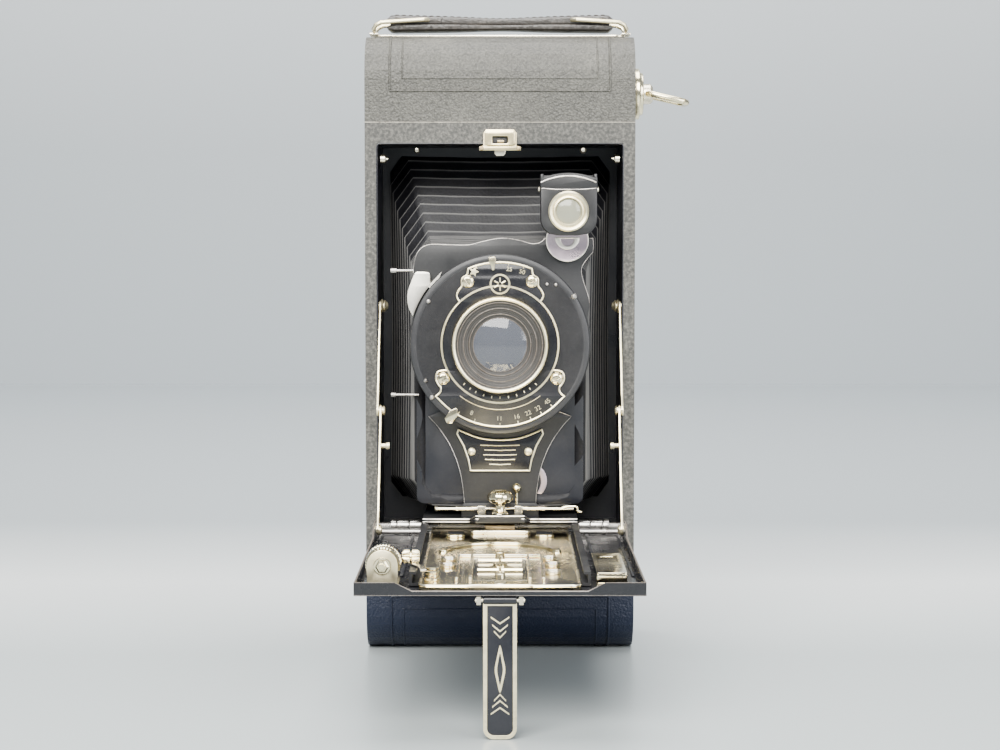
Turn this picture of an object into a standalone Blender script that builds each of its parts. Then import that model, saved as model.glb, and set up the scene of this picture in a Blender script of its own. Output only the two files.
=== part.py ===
"""Folding roll-film pocket camera, standing on its lower end with the bed down.

Millimetres in the constants and in the helpers' arguments, metres in the objects.
+Z is up, the lens looks along -Y, and +X is the side of the winding key.
The origin is the centre of the flat lower end of the body.
"""
import math

import bmesh
import bpy
from mathutils import Matrix

MM = 0.001
CLEARANCE = 0.3            # between pieces that touch

# body
WIDTH = 91.0
DEPTH = 46.0
HEIGHT = 209.5
END_RADIUS = 15.0          # rounding of the two ends, seen from the side
WALL = 1.5
SPLIT_Y = 4.0              # the back comes off behind this plane
SEAM_LOW = 30.0            # seams between the front frame and the two ends
SEAM_HIGH = 180.0
OPENING_HALF = 41.5
OPENING_LOW = 40.8
OPENING_HIGH = 172.8
WELL_WALL = 1.0
WELL_BACK = 18.8
FILM_HALF_WIDTH = 31.75    # 2 1/2 by 4 1/4 inch picture
FILM_LOW = 54.0
FILM_HIGH = 162.0

FRONT_Y = -DEPTH / 2
BACK_Y = DEPTH / 2
SIDE_X = WIDTH / 2

# film spools and the winding key
SPOOL_HIGH_Z = 190.7
SPOOL_LOW_Z = 18.8
SPOOL_HALF = 36.3
SPOOL_FLANGE_RADIUS = 12.0
SPOOL_CORE_RADIUS = 5.5
SPOOL_BORE_RADIUS = 2.6
KEY_SHAFT_RADIUS = 2.2
KEY_BOSS_RADIUS = 8.5
KEY_PIVOT_X = 51.0
KEY_BAIL_LENGTH = 13.6
KEY_BAIL_DROOP = math.radians(13)

# bed and its hinge
HINGE_Y = -22.8
HINGE_Z = 43.4
HINGE_ROD_RADIUS = 1.2
BED_HALF = 41.1
BED_UNDER_Z = 41.0
BED_SHEET = 0.6
BED_LENGTH = 128.0
LIP_Z = 44.7
TRACK_Z = BED_UNDER_Z + BED_SHEET + CLEARANCE
TRACK_HALF = 23.1
RAIL_TOP_Z = 46.0

# folding braces between the body and the bed
BRACE_TOP = (-17.5, 118.0)          # y, z
BRACE_FOOT_ALONG = 30.0             # along the bed from its hinge
BRACE_FOOT_Z = 46.2
BRACE_UPPER_SHARE = 0.4775          # of the straight brace's length
BRACE_SHEET = 0.7
BRACE_UPPER_X = 40.4
BRACE_LOWER_X = 39.4

# standard
LENS_Z = 106.0
BOARD_FRONT_Y = -30.2
BOARD_BACK_Y = -29.0
SHUTTER_RADIUS = 29.8
BASE_Z = 46.3
FINDER_PIVOT_X = 22.4
FINDER_PIVOT_Z = 140.3

# focusing wheel
WHEEL_X = -33.5
WHEEL_Z = 48.1

# leg under the bed's front edge
LEG_Y = -149.0
LEG_PIVOT_Z = 39.6
LEG_HALF = 4.75

# carrying handle
HANDLE_Y = -2.5
STRAP_BORE_X = 24.5
STRAP_BORE_Z = 215.3
LOOP_PIVOT_X = 43.2
LOOP_PIVOT_Z = 212.1

ROUND = 32                 # sides of a large round piece
SMALL = 16                 # sides of a small round piece

LOOKS = {                  # colour, roughness, metallic
    "leather": ((0.055, 0.058, 0.06), 0.7, 0.0),
    "strap_leather": ((0.05, 0.035, 0.028), 0.6, 0.0),
    "bellows_leather": ((0.02, 0.02, 0.022), 0.65, 0.0),
    "crackle_paint": ((0.09, 0.09, 0.088), 0.5, 0.0),
    "black_enamel": ((0.012, 0.012, 0.013), 0.3, 0.0),
    "nickel": ((0.78, 0.74, 0.66), 0.25, 1.0),
    "steel": ((0.5, 0.5, 0.5), 0.35, 1.0),
    "brass": ((0.7, 0.52, 0.28), 0.35, 1.0),
    "glass": ((0.75, 0.8, 0.82), 0.05, 0.0),
    "ruby_glass": ((0.5, 0.02, 0.02), 0.1, 0.0),
}


# ---------------------------------------------------------------- helpers

def clear_scene():
    for obj in list(bpy.data.objects):
        bpy.data.objects.remove(obj, do_unlink=True)


def make_collection(name):
    collection = bpy.data.collections.new(name)
    bpy.context.scene.collection.children.link(collection)
    return collection


def look_material(look):
    """The Principled material of a named look, made once."""
    material = bpy.data.materials.get(look)
    if material is None:
        colour, roughness, metallic = LOOKS[look]
        material = bpy.data.materials.new(look)
        material.use_nodes = True
        shader = material.node_tree.nodes["Principled BSDF"]
        shader.inputs["Base Color"].default_value = (*colour, 1.0)
        shader.inputs["Roughness"].default_value = roughness
        shader.inputs["Metallic"].default_value = metallic
        material.diffuse_color = (*colour, 1.0)
    return material


def finish(name, mesh, look, smooth=False, helper=False):
    """Link a mesh as a named piece, or as a helper of Boolean modifiers."""
    obj = bpy.data.objects.new(name, mesh)
    if helper:
        CUTTERS.objects.link(obj)
        obj.hide_render = True
        obj.display_type = "WIRE"
        return obj
    PARTS.objects.link(obj)
    mesh.materials.append(look_material(look))
    if smooth:
        mesh.shade_smooth()
        mesh.set_sharp_from_angle(angle=math.radians(35))
    return obj


def box(name, x, y, z, look=None, bevel=0.0, helper=False):
    """A block between the given pairs of coordinates."""
    mesh = bpy.data.meshes.new(name)
    bm = bmesh.new()
    centre = [(low + high) / 2 * MM for low, high in (x, y, z)]
    size = [(high - low) * MM for low, high in (x, y, z)]
    place = Matrix.Translation(centre) @ Matrix.Diagonal((*size, 1.0))
    bmesh.ops.create_cube(bm, size=1.0, matrix=place)
    bm.to_mesh(mesh)
    bm.free()
    obj = finish(name, mesh, look, helper=helper)
    if bevel:
        modifier = obj.modifiers.new("edges", "BEVEL")
        modifier.width = bevel * MM
        modifier.segments = 2
    return obj


AXIS_TURN = {
    "X": Matrix.Rotation(math.radians(90), 4, "Y"),
    "Y": Matrix.Rotation(math.radians(90), 4, "X"),
    "Z": Matrix.Identity(4),
}


def cylinder(name, axis, centre, radius, length, look=None, sides=SMALL, helper=False):
    mesh = bpy.data.meshes.new(name)
    bm = bmesh.new()
    place = Matrix.Translation([value * MM for value in centre]) @ AXIS_TURN[axis]
    bmesh.ops.create_cone(bm, cap_ends=True, segments=sides, radius1=radius * MM,
                          radius2=radius * MM, depth=length * MM, matrix=place)
    bm.to_mesh(mesh)
    bm.free()
    return finish(name, mesh, look, smooth=not helper, helper=helper)


def turned(name, axis, centre, profile, look, sides=ROUND, closed=False, helper=False):
    """A turned piece. The profile is (radius, height) from the top down its outer side.

    The height runs along +X, along -Y or along +Z from the centre.
    """
    mesh = bpy.data.meshes.new(name)
    bm = bmesh.new()
    points = [bm.verts.new((radius * MM, 0.0, height * MM)) for radius, height in profile]
    last = len(points) if closed else len(points) - 1
    for index in range(last):
        bm.edges.new((points[index], points[(index + 1) % len(points)]))
    bm.to_mesh(mesh)
    bm.free()
    obj = finish(name, mesh, look, helper=helper)
    obj.matrix_world = Matrix.Translation([value * MM for value in centre]) @ AXIS_TURN[axis]
    screw = obj.modifiers.new("turn", "SCREW")
    screw.axis = "Z"
    screw.steps = sides
    screw.render_steps = sides
    screw.use_merge_vertices = True
    screw.merge_threshold = 0.00001
    screw.use_smooth_shade = True
    return obj


PLANES = {                 # columns are the outline's two directions and its normal
    "XY": Matrix(((1, 0, 0, 0), (0, 1, 0, 0), (0, 0, 1, 0), (0, 0, 0, 1))),
    "XZ": Matrix(((1, 0, 0, 0), (0, 0, -1, 0), (0, 1, 0, 0), (0, 0, 0, 1))),
    "YZ": Matrix(((0, 0, 1, 0), (1, 0, 0, 0), (0, 1, 0, 0), (0, 0, 0, 1))),
}
NORMALS = {"XY": (0, 0, 1), "XZ": (0, 1, 0), "YZ": (1, 0, 0)}


def curve_to_mesh(obj):
    """The mesh of a curve object, with its caps welded on."""
    bpy.context.view_layer.update()
    evaluated = obj.evaluated_get(bpy.context.evaluated_depsgraph_get())
    mesh = bpy.data.meshes.new_from_object(evaluated)
    mesh.transform(obj.matrix_world)
    mesh.materials.clear()
    curve = obj.data
    bpy.data.objects.remove(obj)
    bpy.data.curves.remove(curve)
    bm = bmesh.new()
    bm.from_mesh(mesh)
    bmesh.ops.remove_doubles(bm, verts=bm.verts, dist=0.000002)
    bmesh.ops.recalc_face_normals(bm, faces=bm.faces)
    bm.to_mesh(mesh)
    bm.free()
    return mesh


def plate(name, plane, outline, start, end, look=None, holes=(), smooth=True, helper=False):
    """A flat outline with holes, between two coordinates along its normal."""
    curve = bpy.data.curves.new(name, "CURVE")
    curve.dimensions = "2D"
    curve.fill_mode = "BOTH"
    curve.extrude = (end - start) / 2 * MM
    for loop in (outline, *holes):
        spline = curve.splines.new("POLY")
        spline.points.add(len(loop) - 1)
        for point, (u, v) in zip(spline.points, loop):
            point.co = (u * MM, v * MM, 0.0, 1.0)
        spline.use_cyclic_u = True
    obj = bpy.data.objects.new(name, curve)
    PARTS.objects.link(obj)
    middle = (start + end) / 2 * MM
    obj.matrix_world = Matrix.Translation([middle * part for part in NORMALS[plane]]) @ PLANES[plane]
    return finish(name, curve_to_mesh(obj), look, smooth=smooth, helper=helper)


def wire(name, points, radius, look, cyclic=True, resolution=2):
    """A round wire through the given points."""
    curve = bpy.data.curves.new(name, "CURVE")
    curve.dimensions = "3D"
    curve.bevel_depth = radius * MM
    curve.bevel_resolution = resolution
    curve.use_fill_caps = not cyclic
    spline = curve.splines.new("POLY")
    spline.points.add(len(points) - 1)
    for point, place in zip(spline.points, points):
        point.co = (*[value * MM for value in place], 1.0)
    spline.use_cyclic_u = cyclic
    obj = bpy.data.objects.new(name, curve)
    PARTS.objects.link(obj)
    return finish(name, curve_to_mesh(obj), look, smooth=True)


def boolean(obj, other, operation):
    modifier = obj.modifiers.new(operation.lower(), "BOOLEAN")
    modifier.operation = operation
    modifier.solver = "EXACT"
    modifier.object = other


def cut(obj, *cutters):
    for cutter in cutters:
        boolean(obj, cutter, "DIFFERENCE")


def join(obj, *others):
    for other in others:
        boolean(obj, other, "UNION")


def pivot(name, place):
    """An empty on a joint's axis."""
    empty = bpy.data.objects.new(name, None)
    PARTS.objects.link(empty)
    empty.empty_display_size = 5 * MM
    empty.location = [value * MM for value in place]
    return empty


def hang(child, parent):
    """Parent a piece or a pivot without moving it."""
    bpy.context.view_layer.update()
    child.parent = parent
    child.matrix_parent_inverse = parent.matrix_world.inverted()


def arc(centre, radius, start, end, steps):
    """Points of an arc, both ends included; angles in degrees."""
    points = []
    for index in range(steps + 1):
        angle = math.radians(start + (end - start) * index / steps)
        points.append((centre[0] + radius * math.cos(angle), centre[1] + radius * math.sin(angle)))
    return points


def circle(centre, radius, sides=SMALL):
    return arc(centre, radius, 0, 360, sides)[:-1]


def rounded(u, v, radius, steps=4):
    """A rectangle with round corners."""
    corners = ((u[1], v[1], 0), (u[0], v[1], 90), (u[0], v[0], 180), (u[1], v[0], 270))
    points = []
    for corner_u, corner_v, start in corners:
        centre = (corner_u - math.copysign(radius, corner_u - sum(u) / 2),
                  corner_v - math.copysign(radius, corner_v - sum(v) / 2))
        points += arc(centre, radius, start, start + 90, steps)
    return points


# ---------------------------------------------------------------- body

def end_outline(y_outer, y_split, z_end, z_seam, radius):
    """Side view of a quarter of the body: one rounded corner, cut at the split and the seam."""
    inward_y = math.copysign(radius, y_split - y_outer)
    inward_z = math.copysign(radius, z_seam - z_end)
    centre = (y_outer + inward_y, z_end + inward_z)
    side = 180 if inward_y > 0 else 0
    end = 90 if inward_z < 0 else 270
    if side == 0 and end == 270:
        side = 360
    return [(y_split, z_seam), (y_outer, z_seam), *arc(centre, radius, side, end, 8), (y_split, z_end)]


def end_cover(name, z_end, z_seam):
    """A leather-covered rounded end, hollow, open to the back and to the middle."""
    direction = math.copysign(1.0, z_seam - z_end)
    front_edge = SPLIT_Y - CLEARANCE
    outline = end_outline(FRONT_Y, front_edge, z_end, z_seam - direction * 0.15, END_RADIUS)
    cover = plate(name, "YZ", outline, -SIDE_X, SIDE_X, "leather", smooth=False)
    inside = end_outline(FRONT_Y + WALL, front_edge + 2, z_end + direction * WALL,
                         z_seam + direction * 2, END_RADIUS - WALL)
    cut(cover, plate(name + "_inside", "YZ", inside, WALL - SIDE_X, SIDE_X - WALL, helper=True))
    return cover


def spool_pin(cover, name, side, z):
    """A pin on the inside of an end cover that carries one end of a spool."""
    low, high = sorted((side * (SPOOL_HALF - 4.0), side * (SIDE_X - WALL / 2)))
    centre = ((low + high) / 2, 0.0, z)
    join(cover, cylinder(name, "X", centre, 2.0, high - low, helper=True))


def make_body():
    top = end_cover("top_end_cover", HEIGHT, SEAM_HIGH)
    spool_pin(top, "upper_spool_pin", -1, SPOOL_HIGH_Z)
    cut(top, cylinder("key_hole", "X", (SIDE_X, 0, SPOOL_HIGH_Z), 2.8, 8, helper=True))
    bottom = end_cover("bottom_end_cover", 0.0, SEAM_LOW)
    for side, label in ((-1, "left"), (1, "right")):
        spool_pin(bottom, "lower_spool_pin_" + label, side, SPOOL_LOW_Z)

    low, high = SEAM_LOW + 0.15, SEAM_HIGH - 0.15
    frame = box("front_frame", (-SIDE_X, SIDE_X), (FRONT_Y, SPLIT_Y - CLEARANCE), (low, high),
                "crackle_paint")
    cut(frame,
        box("frame_inside", (WALL - SIDE_X, SIDE_X - WALL), (FRONT_Y + WALL, SPLIT_Y + 2),
            (low - 2, high + 2), helper=True),
        box("frame_opening", (-OPENING_HALF, OPENING_HALF), (FRONT_Y - 2, FRONT_Y + WALL + 2),
            (OPENING_LOW, OPENING_HIGH), helper=True))

    well_half = OPENING_HALF + WELL_WALL
    well = box("inner_well", (-well_half, well_half), (FRONT_Y + WALL + CLEARANCE, WELL_BACK),
               (OPENING_LOW - WELL_WALL, OPENING_HIGH + WELL_WALL), "black_enamel")
    cut(well,
        box("well_inside", (-OPENING_HALF, OPENING_HALF), (FRONT_Y, WELL_BACK - WELL_WALL),
            (OPENING_LOW, OPENING_HIGH), helper=True),
        box("film_aperture", (-FILM_HALF_WIDTH, FILM_HALF_WIDTH), (WELL_BACK - 3, WELL_BACK + 2),
            (FILM_LOW, FILM_HIGH), helper=True))

    box("inner_track", (-26.0, 26.0), (-19.8, 12.0), (OPENING_LOW + CLEARANCE, RAIL_TOP_Z), "nickel")
    cylinder("hinge_rod", "X", (0, HINGE_Y, HINGE_Z), HINGE_ROD_RADIUS, 2 * OPENING_HALF - 0.6, "nickel")

    for name, z in (("film_roller_upper", 176.8), ("film_roller_lower", 36.3)):
        half = SIDE_X - WALL - CLEARANCE
        turned(name, "X", (0, 15.0, z),
               [(0, half), (1.0, half), (1.0, 37), (2.5, 37), (2.5, -37), (1.0, -37), (1.0, -half), (0, -half)],
               "nickel", sides=SMALL)


def make_latch():
    block = plate("latch_plate", "XZ", [(-7, 170.4), (7, 170.4), (7, 172.2), (5.5, 172.2), (5.5, 177.2),
                                        (-5.5, 177.2), (-5.5, 172.2), (-7, 172.2)],
                  FRONT_Y - 0.95, FRONT_Y - CLEARANCE, "nickel", holes=[rounded((-2.7, 2.7), (173.0, 175.4), 0.5, 2)])
    join(block, plate("latch_block", "XZ", rounded((-5.5, 5.5), (172.4, 177.2), 0.8, 2), FRONT_Y - 2.0,
                      FRONT_Y - 0.6, helper=True, holes=[rounded((-2.7, 2.7), (173.0, 175.4), 0.5, 2)]))
    catch = box("latch_catch", (-1.9, 1.9), (FRONT_Y - 0.2, FRONT_Y + 1.5), (168.6, 171.2), "nickel", bevel=0.3)
    hang(catch, pivot("latch_press", (0, FRONT_Y, 170)))


def make_handle():
    box("handle_plate", (-43.5, 43.0), (HANDLE_Y - 5.5, HANDLE_Y + 5.5), (HEIGHT + CLEARANCE, HEIGHT + 1.4),
        "nickel")
    for side, label in ((-1, "left"), (1, "right")):
        slope = (STRAP_BORE_Z - LOOP_PIVOT_Z) / (LOOP_PIVOT_X - STRAP_BORE_X)
        points = []
        for u, v in rounded((STRAP_BORE_X, LOOP_PIVOT_X), (HANDLE_Y - 6.5, HANDLE_Y + 6.5), 1.6, 3):
            points.append((side * u, v, LOOP_PIVOT_Z + (LOOP_PIVOT_X - u) * slope))
        loop = wire("handle_loop_" + label, points, 0.85, "nickel")
        hang(loop, pivot("handle_hinge_" + label, (side * LOOP_PIVOT_X, HANDLE_Y, LOOP_PIVOT_Z)))
    top = [(38.5, 215.2), (38.5, 216.6), (37.0, 217.6), (28.0, 218.0), (18.0, 217.2), (9.0, 215.6)]
    under = [(9.0, 212.9), (18.0, 213.3), (28.0, 213.5), (37.0, 213.7)]
    outline = [*top, (0, 215.0), *[(-x, z) for x, z in reversed(top)],
               *[(-x, z) for x, z in reversed(under)], (0, 212.7), *under]
    strap = plate("handle_strap", "XZ", outline, HANDLE_Y - 5.3, HANDLE_Y + 5.3, "strap_leather",
                  holes=[rounded(tuple(sorted((side * 23.2, side * 27.8))), (214.0, 216.6), 1.3, 3)
                         for side in (-1, 1)])
    hang(strap, pivot("handle_lift", (0, HANDLE_Y, 214)))


def make_back():
    front_edge = SPLIT_Y
    outline = [(front_edge, 0), *arc((BACK_Y - END_RADIUS, END_RADIUS), END_RADIUS, 270, 360, 8),
               *arc((BACK_Y - END_RADIUS, HEIGHT - END_RADIUS), END_RADIUS, 0, 90, 8), (front_edge, HEIGHT)]
    inner_radius = END_RADIUS - WALL
    inner_y = BACK_Y - WALL - inner_radius
    inside = [(front_edge - 2, WALL), *arc((inner_y, WALL + inner_radius), inner_radius, 270, 360, 8),
              *arc((inner_y, HEIGHT - WALL - inner_radius), inner_radius, 0, 90, 8),
              (front_edge - 2, HEIGHT - WALL)]
    back = plate("back_cover", "YZ", outline, -SIDE_X, SIDE_X, "leather", smooth=False)
    cut(back, plate("back_inside", "YZ", inside, WALL - SIDE_X, SIDE_X - WALL, helper=True),
        cylinder("window_hole", "Y", (0, BACK_Y, 140), 4.2, 8, sides=20, helper=True),
        box("writing_slot", (-30, 30), (BACK_Y - 4, BACK_Y + 4), (53, 59), helper=True))
    window = cylinder("red_window", "Y", (0, BACK_Y - 0.8, 140), 3.9, 1.0, "ruby_glass", sides=20)
    pressure = plate("pressure_plate", "XZ", rounded((-33, 33), (52, 164), 3), 19.2, 20.2, "black_enamel",
                     holes=[circle((0, 140), 5, 20), rounded((-31, 31), (53, 59.2), 0.8, 2)])
    door = plate("autographic_door", "XZ", rounded((-33, 33), (50, 61), 1.5), BACK_Y + CLEARANCE,
                 BACK_Y + 1.3, "nickel")
    stylus = turned("stylus", "X", (0, BACK_Y + 1.8, 65),
                    [(0, 22), (0.5, 20), (0.9, 14), (0.9, -24), (1.4, -25), (1.4, -30), (0, -30)], "nickel",
                    sides=12)
    lift = pivot("back_lift", (0, SPLIT_Y, HEIGHT / 2))
    flap = pivot("door_hinge", (0, BACK_Y + 0.8, 50))
    pull = pivot("stylus_pull", (0, BACK_Y + 1.8, 65))
    hang(flap, lift)
    hang(pull, lift)
    hang(door, flap)
    hang(stylus, pull)
    for piece in (back, window, pressure):
        hang(piece, lift)


def make_film_transport():
    half, flange = SPOOL_HALF, SPOOL_HALF - 1.0
    profile = [(SPOOL_FLANGE_RADIUS, half), (SPOOL_FLANGE_RADIUS, flange), (SPOOL_CORE_RADIUS, flange),
               (SPOOL_CORE_RADIUS, -flange), (SPOOL_FLANGE_RADIUS, -flange), (SPOOL_FLANGE_RADIUS, -half),
               (SPOOL_BORE_RADIUS, -half), (SPOOL_BORE_RADIUS, half)]
    for name, z in (("takeup_spool", SPOOL_HIGH_Z), ("supply_spool", SPOOL_LOW_Z)):
        spool = turned(name, "X", (0, 0, z), profile, "steel", closed=True, sides=24)
        hang(spool, pivot(name + "_axis", (0, 0, z)))

    boss_low, boss_high = SIDE_X + CLEARANCE, SIDE_X + 3.8
    turned("key_boss", "X", (0, 0, SPOOL_HIGH_Z),
           [(KEY_BOSS_RADIUS - 0.8, boss_high), (KEY_BOSS_RADIUS, boss_high - 0.8), (KEY_BOSS_RADIUS, boss_low),
            (2.8, boss_low), (2.8, boss_high)], "nickel", closed=True)
    tip = SPOOL_HALF - 3.5
    shaft = turned("key_shaft", "X", (0, 0, SPOOL_HIGH_Z),
                   [(0, 52.8), (2.6, 52.8), (3.4, 52.0), (3.4, boss_high + CLEARANCE),
                    (KEY_SHAFT_RADIUS, boss_high + CLEARANCE), (KEY_SHAFT_RADIUS, tip), (0, tip)], "nickel",
                   sides=20)
    cut(shaft, cylinder("bail_hole", "Y", (KEY_PIVOT_X, 0, SPOOL_HIGH_Z), 1.45, 9, sides=12, helper=True))
    points = []
    for u, v in rounded((0.0, KEY_BAIL_LENGTH), (-5.2, 5.2), 2.4, 4):
        points.append((KEY_PIVOT_X + u * math.cos(KEY_BAIL_DROOP), v,
                       SPOOL_HIGH_Z - u * math.sin(KEY_BAIL_DROOP)))
    bail = wire("key_bail", points, 1.05, "nickel")
    key = pivot("key_turn", (0, 0, SPOOL_HIGH_Z))
    fold = pivot("key_bail_hinge", (KEY_PIVOT_X, 0, SPOOL_HIGH_Z))
    hang(shaft, key)
    hang(fold, key)
    hang(bail, fold)


# ---------------------------------------------------------------- bed

def along(distance):
    """Y of a point at a distance from the hinge along the open bed."""
    return HINGE_Y - distance


def bed_sheet():
    """The bed: one pressed sheet with a floor, two side flanges with brace ears, and a front lip."""
    start, side_start, end = 2.7, 6.0, BED_LENGTH
    ear = BRACE_FOOT_ALONG
    mesh = bpy.data.meshes.new("bed_tray")
    bm = bmesh.new()

    def vertex(x, distance, z):
        return bm.verts.new((x * MM, along(distance) * MM, z * MM))

    floor = {}
    for side in (-1, 1):
        for distance in (start, side_start, end):
            floor[side, distance] = vertex(side * BED_HALF, distance, BED_UNDER_Z)
    bm.faces.new([floor[-1, start], floor[-1, side_start], floor[-1, end],
                  floor[1, end], floor[1, side_start], floor[1, start]])
    corner = {side: vertex(side * BED_HALF, end, LIP_Z) for side in (-1, 1)}
    for side in (-1, 1):
        rim = [(end - 4, LIP_Z), (ear + 10, LIP_Z), (ear + 4, 48.6), (ear - 4, 48.6), (ear - 10, LIP_Z),
               (side_start + 3, LIP_Z), (side_start, LIP_Z - 1.6)]
        upper = [vertex(side * BED_HALF, distance, z) for distance, z in rim]
        bm.faces.new([floor[side, end], corner[side], *upper, floor[side, side_start]])
    lip = [vertex(x, end, z) for x, z in ((-29.6, LIP_Z), (-24.7, 42.2), (24.7, 42.2), (29.6, LIP_Z))]
    bm.faces.new([floor[-1, end], corner[-1], *lip, corner[1], floor[1, end]])
    bmesh.ops.recalc_face_normals(bm, faces=bm.faces)
    bm.to_mesh(mesh)
    bm.free()
    obj = finish("bed_tray", mesh, "black_enamel")
    solidify = obj.modifiers.new("sheet", "SOLIDIFY")
    solidify.thickness = BED_SHEET * MM
    solidify.offset = -1.0
    solidify.use_even_offset = True
    solidify.use_quality_normals = True
    return obj


def make_bed():
    bed = pivot("bed_hinge", (0, HINGE_Y, HINGE_Z))
    pieces = [bed_sheet()]
    pieces.append(turned("bed_knuckle", "X", (0, HINGE_Y, HINGE_Z),
                         [(2.3, 37), (2.3, -37), (1.5, -37), (1.5, 37)], "nickel", closed=True, sides=20))
    pieces.append(plate("scale_plate", "YZ", [(along(80), 45.4), (along(80), 46), (along(118), 46),
                                              (along(118), TRACK_Z), (along(117.4), TRACK_Z),
                                              (along(117.4), 45.4)], 27.6, 36.3, "nickel", smooth=False))
    pieces.append(turned("bed_tripod_boss", "Z", (0, along(40), 0),
                         [(7.5, 40.7), (7.5, 39.4), (6.8, 38.7), (3.0, 38.7), (3.0, 40.7)], "nickel",
                         closed=True, sides=24))
    bracket = plate("focus_bracket", "XZ",
                    [(-37.9, TRACK_Z), (-29.1, TRACK_Z), *arc((WHEEL_X, WHEEL_Z + 0.2), 4.4, 0, 180, 10)],
                    along(119.2), along(118.4), "nickel", holes=[circle((WHEEL_X, WHEEL_Z), 1.5, 12)])
    join(bracket, box("bracket_foot", (-37.9, -29.1), (along(118.8), along(103)), (TRACK_Z, TRACK_Z + 0.7),
                      helper=True))
    pieces.append(bracket)
    lugs = cylinder("leg_pin", "X", (0, LEG_Y, LEG_PIVOT_Z), 0.7, 14.0, "nickel", sides=12)
    join(lugs, *[box("leg_lug_" + label, tuple(sorted((side * 5.4, side * 6.6))), (LEG_Y - 1.5, LEG_Y + 1.5),
                     (38.4, BED_UNDER_Z - CLEARANCE), helper=True) for side, label in ((-1, "left"), (1, "right"))])
    pieces.append(lugs)
    for piece in pieces:
        hang(piece, bed)

    wheel = turned("focus_wheel", "Y", (WHEEL_X, HINGE_Y, WHEEL_Z),
                   [(0, 121.2), (2.0, 121.2), (2.0, 119.5), (1.1, 119.5), (1.1, 116.6), (4.6, 116.6),
                    (5.0, 116.2), (5.0, 109.4), (4.6, 109.0), (2.2, 109.0), (2.2, 105.5), (0, 105.5)], "nickel")
    pinion = cylinder("focus_pinion", "X", (-26.0, along(103), 48.4), 1.9, 5.0, "nickel")
    for piece, name, place in ((wheel, "focus_turn", (WHEEL_X, along(112), WHEEL_Z)),
                               (pinion, "pinion_turn", (-26.0, along(103), 48.4))):
        axis = pivot(name, place)
        hang(axis, bed)
        hang(piece, axis)
    make_track(bed)
    make_leg(bed)


def make_track(bed):
    """The focusing track: a nickel plate between two channels, which the wheel moves."""
    slide = pivot("focus_slide", (0, along(60), TRACK_Z))
    hang(slide, bed)
    front, rear = along(124), along(2.9)
    outline = [(TRACK_HALF, rear), (-TRACK_HALF, rear), *arc((3.5 - TRACK_HALF, front + 3.5), 3.5, 180, 270, 5),
               *arc((TRACK_HALF - 3.5, front + 3.5), 3.5, 270, 360, 5)]
    hang(plate("track_plate", "XY", outline, TRACK_Z, TRACK_Z + 0.8, "nickel"), slide)
    inner, outer = TRACK_HALF + CLEARANCE, 26.0
    for side, label in ((-1, "left"), (1, "right")):
        section = [(inner, TRACK_Z), (outer, TRACK_Z), (outer, RAIL_TOP_Z), (inner + 0.6, RAIL_TOP_Z),
                   (inner + 0.6, RAIL_TOP_Z - 0.8), (outer - 0.8, RAIL_TOP_Z - 0.8), (outer - 0.8, TRACK_Z + 0.8),
                   (inner, TRACK_Z + 0.8)]
        rail = plate("track_rail_" + label, "XZ", [(side * x, z) for x, z in section], along(116), along(12.8),
                     "black_enamel", smooth=False)
        hang(rail, slide)


def make_leg(bed):
    hinge = pivot("leg_hinge", (0, LEG_Y, LEG_PIVOT_Z))
    hang(hinge, bed)
    radius = 3.0
    outline = [(LEG_HALF, LEG_PIVOT_Z), (-LEG_HALF, LEG_PIVOT_Z),
               *arc((radius - LEG_HALF, radius), radius, 180, 270, 5),
               *arc((LEG_HALF - radius, radius), radius, 270, 360, 5)]
    leg = plate("leg", "XZ", outline, LEG_Y - 0.6, LEG_Y + 0.6, "black_enamel")
    join(leg, turned("leg_curl", "X", (0, LEG_Y, LEG_PIVOT_Z), [(0, LEG_HALF), (1.3, LEG_HALF), (1.3, -LEG_HALF),
                                                              (0, -LEG_HALF)], None, sides=12, helper=True))
    cut(leg, cylinder("leg_bore", "X", (0, LEG_Y, LEG_PIVOT_Z), 1.0, 2 * LEG_HALF + 2, sides=12, helper=True))
    hang(leg, hinge)


# ---------------------------------------------------------------- braces

def link(name, x, start, end, width, look, boss=None):
    """A flat link in the YZ plane from one pivot to another, with round ends."""
    angle = math.degrees(math.atan2(end[1] - start[1], end[0] - start[0]))
    outline = [*arc(end, width / 2, angle - 90, angle + 90, 6), *arc(start, width / 2, angle + 90, angle + 270, 6)]
    low, high = sorted(x)
    piece = plate(name, "YZ", outline, low, high, look)
    if boss:
        side, place = boss
        inner, outer = sorted((side * (abs(x[0]) - 1.0), side * (abs(x[0]) + 0.3)))
        join(piece, cylinder(name + "_stud", "X", ((inner + outer) / 2, *place), 1.3, outer - inner, sides=12,
                             helper=True))
    return piece


def make_braces():
    foot = (along(BRACE_FOOT_ALONG), BRACE_FOOT_Z)
    middle = tuple(top + (low - top) * BRACE_UPPER_SHARE for top, low in zip(BRACE_TOP, foot))
    bed = bpy.data.objects["bed_hinge"]
    for side, label in ((-1, "left"), (1, "right")):
        upper_x = (side * BRACE_UPPER_X, side * (BRACE_UPPER_X + BRACE_SHEET))
        lower_x = (side * BRACE_LOWER_X, side * (BRACE_LOWER_X + BRACE_SHEET))
        upper = link("brace_upper_" + label, upper_x, BRACE_TOP, middle, 3.6, "nickel",
                     boss=(side, BRACE_TOP))
        hang(upper, pivot("brace_top_" + label, (side * BRACE_UPPER_X, *BRACE_TOP)))
        lower = link("brace_lower_" + label, lower_x, foot, middle, 3.6, "nickel", boss=(side, middle))
        axis = pivot("brace_foot_" + label, (side * BRACE_LOWER_X, *foot))
        hang(axis, bed)
        hang(lower, axis)


# ---------------------------------------------------------------- bellows and standard

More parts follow.
